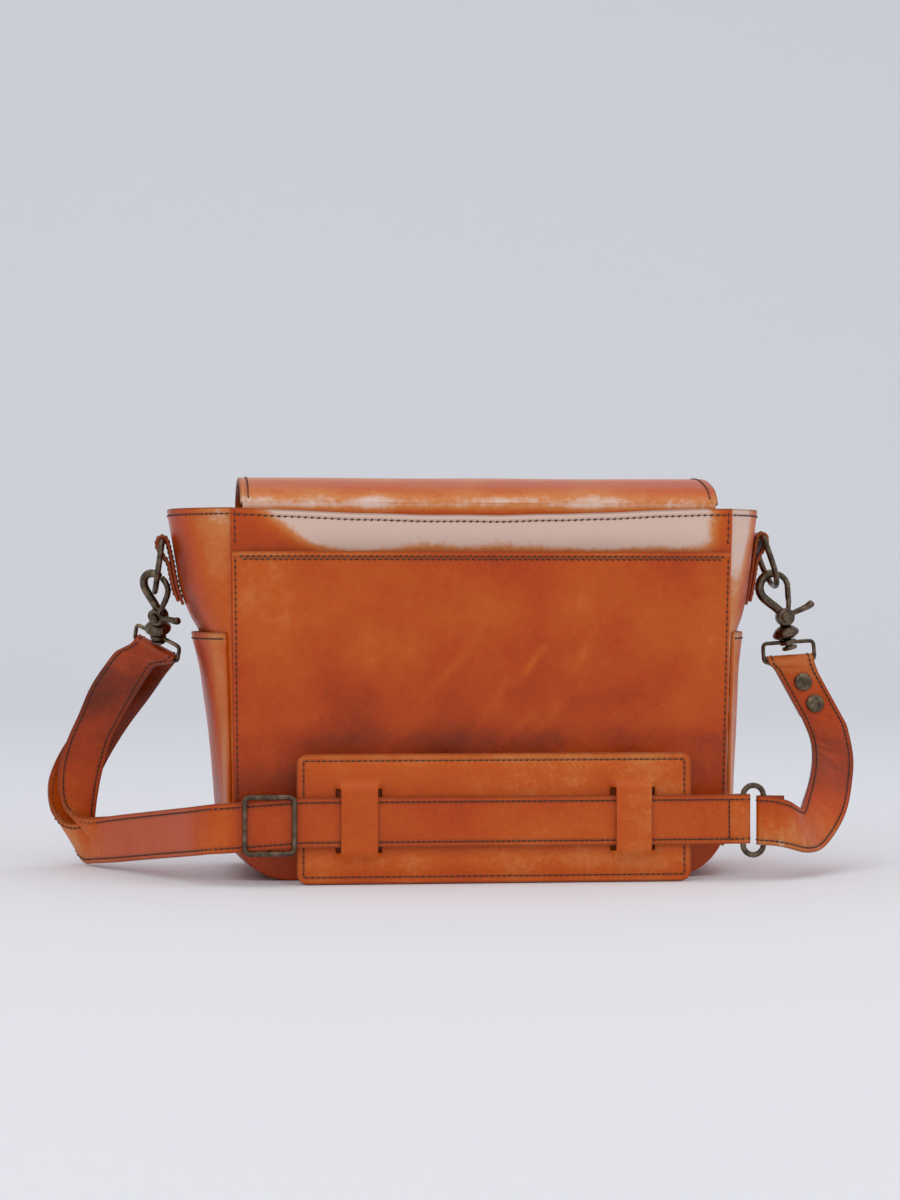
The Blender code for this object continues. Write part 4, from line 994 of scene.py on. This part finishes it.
# %% Shoulder strap
OUTER_RUN = (((-166, -33, 49.6), (-166, -33, 19.6)), ((-177, -20, 47.2), (-177, -20, 17.4)),
             ((-191, 8, 43.6), (-191, 8, 13.8)), ((-210, 45, 38.8), (-210, 45, 9.0)),
             ((-227, 76, 34.6), (-227, 76, 4.8)), ((-240, 96, 31.0), (-239, 98, 2.4)),
             ((-254, 105, 27.5), (-245, 110, 1.7)), ((-264, 111, 31), (-250, 119, 7)),
             ((-269, 113, 40), (-250, 122, 21)), ((-270, 113, 53), (-246, 121, 37)),
             ((-266, 112, 66), (-239, 118, 54)), ((-259, 111, 79), (-230, 114, 72)),
             ((-248, 111, 96), (-218, 110, 91)), ((-234, 110, 114), (-206, 104, 107)),
             ((-221, 108, 131), (-196, 97, 122)))
INNER_RUN = (((-226, 96, 139), (-202, 82, 130)), ((-241, 97, 118), (-212, 87, 114)),
             ((-250, 98, 98), (-221, 93, 98)), ((-257, 99, 83), (-229, 98, 83)),
             ((-262, 100, 67), (-235, 103, 62)), ((-263, 101, 55), (-238, 106, 47)),
             ((-262, 102, 46), (-240, 109, 31)), ((-257, 102, 36), (-240, 109, 14)),
             ((-246, 96, 32), (-236, 102, 6)), ((-234, 89, 33), (-232, 92, 4)),
             ((-222, 72, 35), (-222, 72, 6)), ((-205, 42, 39), (-205, 42, 10)),
             ((-187, 8, 43), (-187, 8, 14)))
SLIDER_X, SLIDER_Z, OVAL_WIRE, OVAL_HALF, RING_X, RING_Z = -132.6, 36.6, 1.85, (6.4, 21.4), 164.0, 37.0
RING_TURN, TAIL_Y = OVAL_WIRE + 0.4 + STRAP_THICK / 2, STRAP_Y + STRAP_THICK + 0.5
RING_Y = STRAP_Y + STRAP_THICK / 2 + 0.4 + OVAL_WIRE


def strap_stations():
    tail = level_rows(((145, TAIL_Y), (150, TAIL_Y)), STRAP_Z)
    turn = wrap((RING_X - OVAL_HALF[0], RING_Y, STRAP_Z), (0, 0, 1), (1, 0, 0), RING_TURN, STRAP / 2,
                first=-125)
    front = level_rows(((150, STRAP_Y), (-112, STRAP_Y)), STRAP_Z)
    front += level_rows(((SLIDER_X, STRAP_Y),), SLIDER_Z) + level_rows(((-160, STRAP_Y),), 34.9)
    outer, inner = smooth_stations(OUTER_RUN), smooth_stations(INNER_RUN)
    bar, bail_across, _ = hook_frame(-1)
    hang = bar - (outer[-1][0] + outer[-1][1]) / 2
    over = wrap(bar, bail_across, hang + Vector((0, 0, 6)), BAIL_TURN, STRAP / 2)
    over = face_to(over, outer[-1])
    if (over[0][0] - outer[-1][0]).length > (over[-1][0] - outer[-1][0]).length:
        over.reverse()
    return tail + turn + front + outer + over + inner


def sew_strip(body, grid, thickness, inset=2.9, ends=(4, 4), sunk=0.0):
    """Sews both faces of a strip. sunk sets the row on its first face deeper, where a piece lies on it."""
    for side in "lr":
        sew(body, raised(grid.line(side, inset, ends), thickness / 2 - sunk), both=thickness - sunk, pitch=3.2)


# The strap is painted darker around the height where it climbs to the hook: a painted shade.
long_strap = strip_grid(strap_stations())
leather("shoulder_strap_leather", long_strap, STRAP_SKIN, "strap", ("shoulder_strap",), RUBBED, offset=0.0,
        rounding=0.6, tone=strip_tone(long_strap, 0.2, crinkle=0.4, dark=(120, 62, 1.05)))
sew_strip("strap", long_strap, STRAP_SKIN, sunk=0.5)
cross = np.array([(148.0, STRAP_Y - STRAP_THICK / 2 + 0.05, z) for z in np.linspace(26, 50, 12)])
sew("strap", (cross, np.tile((0.0, -1.0, 0.0), (12, 1))), pitch=3.2)

# %% Short strap
SHORT_RUN = (((176, -34, 51.6), (176, -34, 21.6)), ((185, -33, 49), (186, -32, 19.5)),
             ((193, -25, 44), (199, -23, 16)), ((199, -9, 42), (211, -9, 16.5)),
             ((206, 12, 47), (223, 5, 24)), ((213, 28, 57), (234, 18, 37)),
             ((218, 41, 69), (241, 31, 53)), ((219, 50, 82), (245, 42, 71)),
             ((214.5, 55.8, 96.3), (243.5, 53.8, 91.7)))
SHORT_TOP = (((207.5, 57.1, 109.3), (236.5, 55.1, 104.7)), ((196.8, 59.0, 129.3), (225.8, 57.0, 124.7)))
STRAP_BACK = 3.4


def short_stations():
    half = STRAP / 2
    tail = level_rows(((183, TAIL_Y), (178, TAIL_Y)), RING_Z)
    turn = wrap((RING_X + OVAL_HALF[0], RING_Y, RING_Z), (0, 0, 1), (-1, 0, 0), RING_TURN, half,
                first=125, last=-90)
    rise = smooth_stations(SHORT_RUN)
    top = [(Vector(a), Vector(b)) for a, b in SHORT_TOP]
    over = face_to(wrap(*hook_frame(1), BAIL_TURN, half), top[0])
    if over[0][0].y > over[-1][0].y:
        over.reverse()
    flat = [rise[-1]] + top
    back = []
    for i, (a, b) in enumerate(flat):
        ahead = sum(flat[min(i + 1, len(flat) - 1)], Vector())
        behind = sum(flat[max(i - 1, 0)], Vector())
        off = (ahead - behind).cross(a - b).normalized() * -STRAP_BACK
        back.append((a + off, b + off))
    return tail + turn + rise + top + over + back[::-1]


# The short strap is painted darker around its lower rise: a painted shade.
short = strip_grid(short_stations())
leather("short_strap_leather", short, STRAP_SKIN, "strap", ("short_strap",), RUBBED, offset=0.0,
        rounding=0.6, tone=strip_tone(short, 0.42, crinkle=0.7, seed=9.0, dark=(70, 36, 1.4)))
sew_strip("strap", short, STRAP_SKIN, ends=(8, 4))

# %% [markdown]
# ## Ring tabs and strap end
# A tab folded over its D-ring is sewn on each gusset, and a short loop round the slider's bar ends the strap.
# Both are strips again, bent over half a circle that is worked out from the thickness of the wire.

# %% Ring tabs
D_BAR = {-1: (-196.6, 209.0), 1: (186.8, 212.0)}
TAB, TAB_HALF, TAB_LOW, D_WIRE, GAP = 2.0, 14.0, 169.0, 2.0, 0.3
for side, word in SIDES:
    def skin(z, side=side):
        heights, values = zip(*GUSSET[side])
        return abs(seam(side, z)) + np.interp(z, heights, values) + 0.6 + TAB / 2

    def tab_row(x, z):
        return ((x, MIDDLE - TAB_HALF, z), (x, MIDDLE + TAB_HALF, z))

    bar_x, bar_z = D_BAR[side]
    radius = D_WIRE + GAP + TAB / 2
    inner = [tab_row(side * skin(z), z) for z in (TAB_LOW, 178, 188, bar_z - 12)]
    over = []
    for a in np.linspace(0, math.pi, 15):
        over.append(tab_row(bar_x - side * radius * math.cos(a), bar_z + radius * math.sin(a)))
    outer = [tab_row(bar_x + side * radius, bar_z - 4)]
    outer += [tab_row(side * (skin(z) + TAB + GAP), z) for z in (bar_z - 14, 188, 178, TAB_LOW + 2)]
    tab = strip_grid(inner + over + outer, 1.4)
    leather("ring_tab_leather_" + word, tab, TAB - 0.1, "bag", ("ring_tab_" + word,), offset=0.0,
            tone=strip_tone(tab, -0.1, pull=6.0))
    sew_strip("bag", tab, TAB - 0.1, inset=2.4)

# %% Strap end round the slider's bar
SLIDER_WIRE, LOOP_THICK, LOOP_HALF = 1.7, 2.2, 13.0
bar_y = STRAP_Y + STRAP_THICK / 2 + 0.4 + LOOP_THICK + GAP + SLIDER_WIRE
loop_turn = SLIDER_WIRE + GAP + LOOP_THICK / 2
near = bar_y - loop_turn
loop = level_rows(((SLIDER_X - 15, near), (SLIDER_X - 7, near)), SLIDER_Z, LOOP_HALF)
round_bar = face_to(wrap((SLIDER_X, bar_y, SLIDER_Z), (0, 0, 1), (1, 0, 0), loop_turn, LOOP_HALF), loop[0])
if round_bar[0][0].y > round_bar[-1][0].y:
    round_bar.reverse()
far = near + LOOP_THICK + GAP
loop += round_bar + level_rows(((SLIDER_X - 7, far + 0.4), (SLIDER_X - 15, far + 0.1)), SLIDER_Z, LOOP_HALF)
end_loop = strip_grid(loop, 1.2)
leather("strap_end_leather", end_loop, LOOP_THICK - 0.1, "slider", ("strap_end_loop",), offset=0.0,
        tone=strip_tone(end_loop, 0.35))

# %% [markdown]
# ## The shoulder pad
# Two layers sewn together round the edge. The face has two pairs of slots, and the strip between the slots of a
# pair stands up as a bridge that the strap runs under. The face is a grid whose columns lie along the slots,
# with the slots' cells left open.

# %% Shoulder pad
PAD_X, PAD_Z, PAD_ROUND, PAD_THICK = (-116.0, 125.0), (0.5, 79.0), 6.5, 2.2
BRIDGES, SLOT_Z, SLOT, LIFT = ((-91.0, -66.0), (76.5, 101.0)), (20.5, 57.0), 2.6, 6.0
PAD_Y = STRAP_Y + STRAP_THICK / 2 + 0.4


def lines_through(marks, step):
    found = []
    for a, b in zip(marks, marks[1:]):
        found += list(np.linspace(a, b, max(int(round((b - a) / step)), 1) + 1)[:-1])
    return np.array(found + [marks[-1]])


def ease(t):
    t = min(max(t, 0.0), 1.0)
    return t * t * (3 - 2 * t)


# %% Rows and columns of the pad
slot_edges = [x + d for pair in BRIDGES for x in pair for d in (-SLOT / 2, SLOT / 2)]
pad_xs = lines_through([PAD_X[0], *slot_edges, PAD_X[1]], 2.2)
pad_zs = lines_through([PAD_Z[0], 9.0, SLOT_Z[0] - 1.2, SLOT_Z[0], SLOT_Z[1], SLOT_Z[1] + 1.2, 68.0,
                        PAD_Z[1]], 2.2)
heart = ((PAD_X[0] + PAD_X[1]) / 2, (PAD_Z[0] + PAD_Z[1]) / 2)


def pad_point(x, z, y):
    """The pad's corners rounded, on a plane y."""
    half_x, half_z = (PAD_X[1] - PAD_X[0]) / 2, (PAD_Z[1] - PAD_Z[0]) / 2
    dx, dz = x - heart[0], z - heart[1]
    px, pz = round_corner(dx, -abs(dz), half_x - PAD_ROUND, -(half_z - PAD_ROUND), PAD_ROUND)
    return heart[0] + px, y, heart[1] + math.copysign(pz, dz)


# %% Bridges, swell and slots
def bridge_lift(x, z):
    rise = ease((z - (SLOT_Z[0] - 8.5)) / 8.5) * ease((SLOT_Z[1] + 8.5 - z) / 8.5)
    for a, b in BRIDGES:
        inner = ease((x - (a - SLOT / 2 - 0.1)) / SLOT) * ease((b + SLOT / 2 + 0.1 - x) / SLOT)
        if inner > 0:
            return LIFT * rise * inner
    return 0.0


def pad_swell(x, z):
    """The edge lies low under its sewing, and the pad is full above and below the strap."""
    border = min(x - PAD_X[0], PAD_X[1] - x, z - PAD_Z[0], PAD_Z[1] - z)
    clear = 1 - ease((z - 16) / 6) * ease((60 - z) / 6)
    return 0.9 * ease((border - 3.6) / 7) * clear - 0.5 * bell(border, 4.2, 1.4)


def slot_distance(x, z):
    found = 50.0
    for edge_pair in BRIDGES:
        for middle in edge_pair:
            dx = abs(x - middle) - SLOT / 2
            dz = max(SLOT_Z[0] - z, z - SLOT_Z[1])
            found = min(found, math.hypot(max(dx, 0), max(dz, 0)) if max(dx, dz) > 0 else 0.0)
    return found


def slot_edge(x, z):
    """The slots' edges are burnished but carry no groove."""
    away = slot_distance(x, z)
    return away * 2 if away < 0.7 else 50.0


def in_slot(i, j):
    x, z = (pad_xs[j] + pad_xs[j + 1]) / 2, (pad_zs[::-1][i] + pad_zs[::-1][i + 1]) / 2
    if not any(abs(x - m) < SLOT / 2 for pair in BRIDGES for m in pair):
        return False
    return SLOT_Z[0] - 1.25 < z < SLOT_Z[1] + 1.25


# %% The face and its sewing
pad_rows, pad_edge = [], []
for z in pad_zs[::-1]:
    pad_rows.append([pad_point(x, z, PAD_Y - bridge_lift(x, z) - pad_swell(x, z) * (bridge_lift(x, z) < 0.01))
                     for x in pad_xs])
    border_z = min(z - PAD_Z[0], PAD_Z[1] - z)
    pad_edge.append([min(x - PAD_X[0], PAD_X[1] - x, border_z, slot_edge(x, z)) for x in pad_xs])
pad = Grid(pad_rows, (0, -1, 0))


# The pad is paler in a band under its top edge and in another near its foot.
def pad_tone(x, y, z):
    pale_bands = 0.35 * bell(z, 76, 2) + 0.2 * bell(z, 14, 6)
    return 0.12 + pale_bands + 0.35 * ripple((x, 0, z), 30) + 0.2 * max(ripple((x * 0.4, 0, z), 6), 0)


face = leather("shoulder_pad_leather", pad, PAD_THICK, "pad", ("shoulder_pad_face",), PAD_TAN, "pad_leather",
               tone=pad_tone, skip=in_slot, edge=np.array(pad_edge), rounding=0.45)
ROW_IN, ROW_Y = 4.2, PAD_Y + 0.45
left, right, low, high = PAD_X[0] + ROW_IN, PAD_X[1] - ROW_IN, PAD_Z[0] + ROW_IN, PAD_Z[1] - ROW_IN
around = [(left, low), (right, low), (right, high), (left, high)]
for (x0, z0), (x1, z1) in zip(around, around[1:] + around[:1]):
    count = int(math.hypot(x1 - x0, z1 - z0) / 2)
    line = np.array([(x, ROW_Y, z) for x, z in zip(np.linspace(x0, x1, count), np.linspace(z0, z1, count))])
    sew("pad", (line, np.tile((0.0, -1.0, 0.0), (count, 1))), proud=0.0)

# %% The backing
BACKING_Y = PAD_Y + PAD_THICK + 0.3


def backing_point(x, z):
    """The backing is full in the middle and pinched at its edge."""
    border = min(x - PAD_X[0], PAD_X[1] - x, z - PAD_Z[0], PAD_Z[1] - z)
    return pad_point(x, z, BACKING_Y + 2.7 - 0.8 * (1 - ease(border / 9)) + 0.15 * ripple((x, 4, z), 24))


lining = Grid([[backing_point(x, z) for x in pad_xs[::2]] for z in pad_zs[::-1]], (0, 1, 0))
piece = leather("shoulder_pad_backing", lining, 1.9, "pad", ("shoulder_pad_back",), PAD_TAN, "pad_leather")

# %% [markdown]
# ## Brass
# The hooks, rings, bails and buckles are cast and drawn brass with soft edges. Each piece starts from a copy of
# its CAD node: a fine remesh melts its parts together, and a few passes of smoothing round the edges as tumbling
# does at the foundry. The hooks are swollen a little, and the buckles' leather chapes are made in the same way.


# %% Metal pieces
def cast(node, body, voxel=0.4, passes=6, finish=None, fuller=0.0):
    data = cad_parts[node].data.copy()
    made = bpy.data.objects.new(node + "_metal" if finish is None else node + "_leather", data)
    scene.collection.objects.link(made)
    mesh = bmesh.new()
    mesh.from_mesh(data)
    bmesh.ops.remove_doubles(mesh, verts=mesh.verts, dist=0.00001)
    mesh.to_mesh(data)
    mesh.free()
    data.materials.clear()
    data.materials.append(finish or BRASS)
    melt = made.modifiers.new("melt", "REMESH")
    melt.mode, melt.voxel_size, melt.use_smooth_shade = "VOXEL", voxel * MM, True
    ease_off = made.modifiers.new("tumble", "SMOOTH")
    ease_off.factor, ease_off.iterations = 0.5, passes
    if fuller:
        swell = made.modifiers.new("fuller", "DISPLACE")
        swell.strength, swell.mid_level = fuller * MM, 0.0
    name = made.name
    data = baked(made)
    data.shade_smooth()
    if not data.materials:
        data.materials.append(finish or BRASS)
    finished(name, data, body, (node,))


# %% Casting every piece
METAL = {"bag": ("snap_socket_left", "snap_socket_right"),
         "strap": ("bail_left", "bail_right", "strap_rivet_upper", "strap_rivet_lower", "strap_ring"),
         "slider": ("slider_frame",)}
for side, word in SIDES:
    METAL["hook_" + word] = ("hook_" + word, "gate_pin_" + word)
    METAL["gate_" + word] = ("gate_" + word,)
    METAL["d_ring_" + word] = ("d_ring_" + word,)
    METAL["closure_" + word] = ("snap_stud_" + word, "buckle_" + word)
    METAL["prong_" + word] = ("prong_" + word,)
FULLER = {"hook_left": 0.25, "hook_right": 0.5}
for body, names in METAL.items():
    for node in names:
        small = node.startswith(("prong", "snap", "gate_pin", "strap_rivet"))
        cast(node, body, voxel=0.3 if small else 0.42, fuller=FULLER.get(node, 0.0))
for side, word in SIDES:
    cast("buckle_chape_" + word, "closure_" + word, voxel=0.4, passes=4, finish=TAN)

# %% [markdown]
# ## Laying the stitches
# One Geometry Nodes tree puts a small rounded bar at every gathered place, turned along the stored direction.
# The same tree makes the needle holes, with a shorter and darker bar that paints the shade inside each hole. The
# copies are made real and given their material, because an exported mesh holds no copies and no tree.


# %% Stitch tree
def stitch_tree():
    tree = bpy.data.node_groups.new("stitch rows", "GeometryNodeTree")
    tree.is_modifier = True
    face = tree.interface
    face.new_socket("Geometry", in_out="INPUT", socket_type="NodeSocketGeometry")
    sockets = {}
    for title, kind in (("Length", "Float"), ("Thread", "Float"), ("Finish", "Material")):
        sockets[title] = face.new_socket(title, in_out="INPUT", socket_type="NodeSocket" + kind).identifier
    face.new_socket("Geometry", in_out="OUTPUT", socket_type="NodeSocketGeometry")
    new, link = tree.nodes.new, tree.links.new
    given, result = new("NodeGroupInput"), new("NodeGroupOutput")
    bar = new("GeometryNodeMeshUVSphere")
    bar.inputs["Segments"].default_value, bar.inputs["Rings"].default_value = 6, 4
    bar.inputs["Radius"].default_value = 1.0
    size = new("ShaderNodeCombineXYZ")
    link(given.outputs["Thread"], size.inputs[0])
    link(given.outputs["Thread"], size.inputs[1])
    link(given.outputs["Length"], size.inputs[2])
    shaped = new("GeometryNodeTransform")
    link(bar.outputs["Mesh"], shaped.inputs["Geometry"])
    link(size.outputs[0], shaped.inputs["Scale"])
    along = new("GeometryNodeInputNamedAttribute")
    along.data_type = "FLOAT_VECTOR"
    along.inputs["Name"].default_value = "along"
    turn = new("FunctionNodeAlignRotationToVector")
    turn.axis = "Z"
    link(along.outputs["Attribute"], turn.inputs["Vector"])
    put = new("GeometryNodeInstanceOnPoints")
    link(given.outputs["Geometry"], put.inputs["Points"])
    link(shaped.outputs["Geometry"], put.inputs["Instance"])
    link(turn.outputs["Rotation"], put.inputs["Rotation"])
    real, finish = new("GeometryNodeRealizeInstances"), new("GeometryNodeSetMaterial")
    smooth = new("GeometryNodeSetShadeSmooth")
    link(put.outputs["Instances"], real.inputs[0])
    link(real.outputs[0], smooth.inputs[0])
    link(smooth.outputs[0], finish.inputs["Geometry"])
    link(given.outputs["Finish"], finish.inputs["Material"])
    link(finish.outputs[0], result.inputs[0])
    return tree, sockets


# %% Every row of stitches
ROWS, ROW_SOCKETS = stitch_tree()
STITCH = {"thread": (1.25, 0.62, THREAD), "hole": (0.36, 0.34, NEEDLE_HOLE_SHADE)}
for (body, kind), batches in SEWN.items():
    places = np.concatenate([b[0] for b in batches])
    directions = np.concatenate([b[1] for b in batches])
    name = ("stitches_" if kind == "thread" else "needle_holes_") + body
    data = bpy.data.meshes.new(name)
    data.from_pydata([tuple(p) for p in (places + HOME) * MM], [], [])
    data.attributes.new("along", "FLOAT_VECTOR", "POINT").data.foreach_set("vector", directions.ravel())
    made = bpy.data.objects.new(name, data)
    scene.collection.objects.link(made)
    layer = made.modifiers.new("rows", "NODES")
    layer.node_group = ROWS
    long, thick, finish = STITCH[kind]
    layer[ROW_SOCKETS["Length"]] = long * MM
    layer[ROW_SOCKETS["Thread"]] = thick * MM
    layer[ROW_SOCKETS["Finish"]] = finish
    data = baked(made)
    if body == "flap":
        finished(name, data, None, blend=("flap_top", "flap_front", *FOLD))
    else:
        finished(name, data, body)
    print(name, "stand at", len(places), "places")

# %% [markdown]
# ## Sizes
# The box of the dressed bag is printed, so that a slip in scale shows at once.

# %% Sizes
low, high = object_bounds()
print("visual box, mm:", [round((b - a) / MM, 1) for a, b in zip(low, high)])
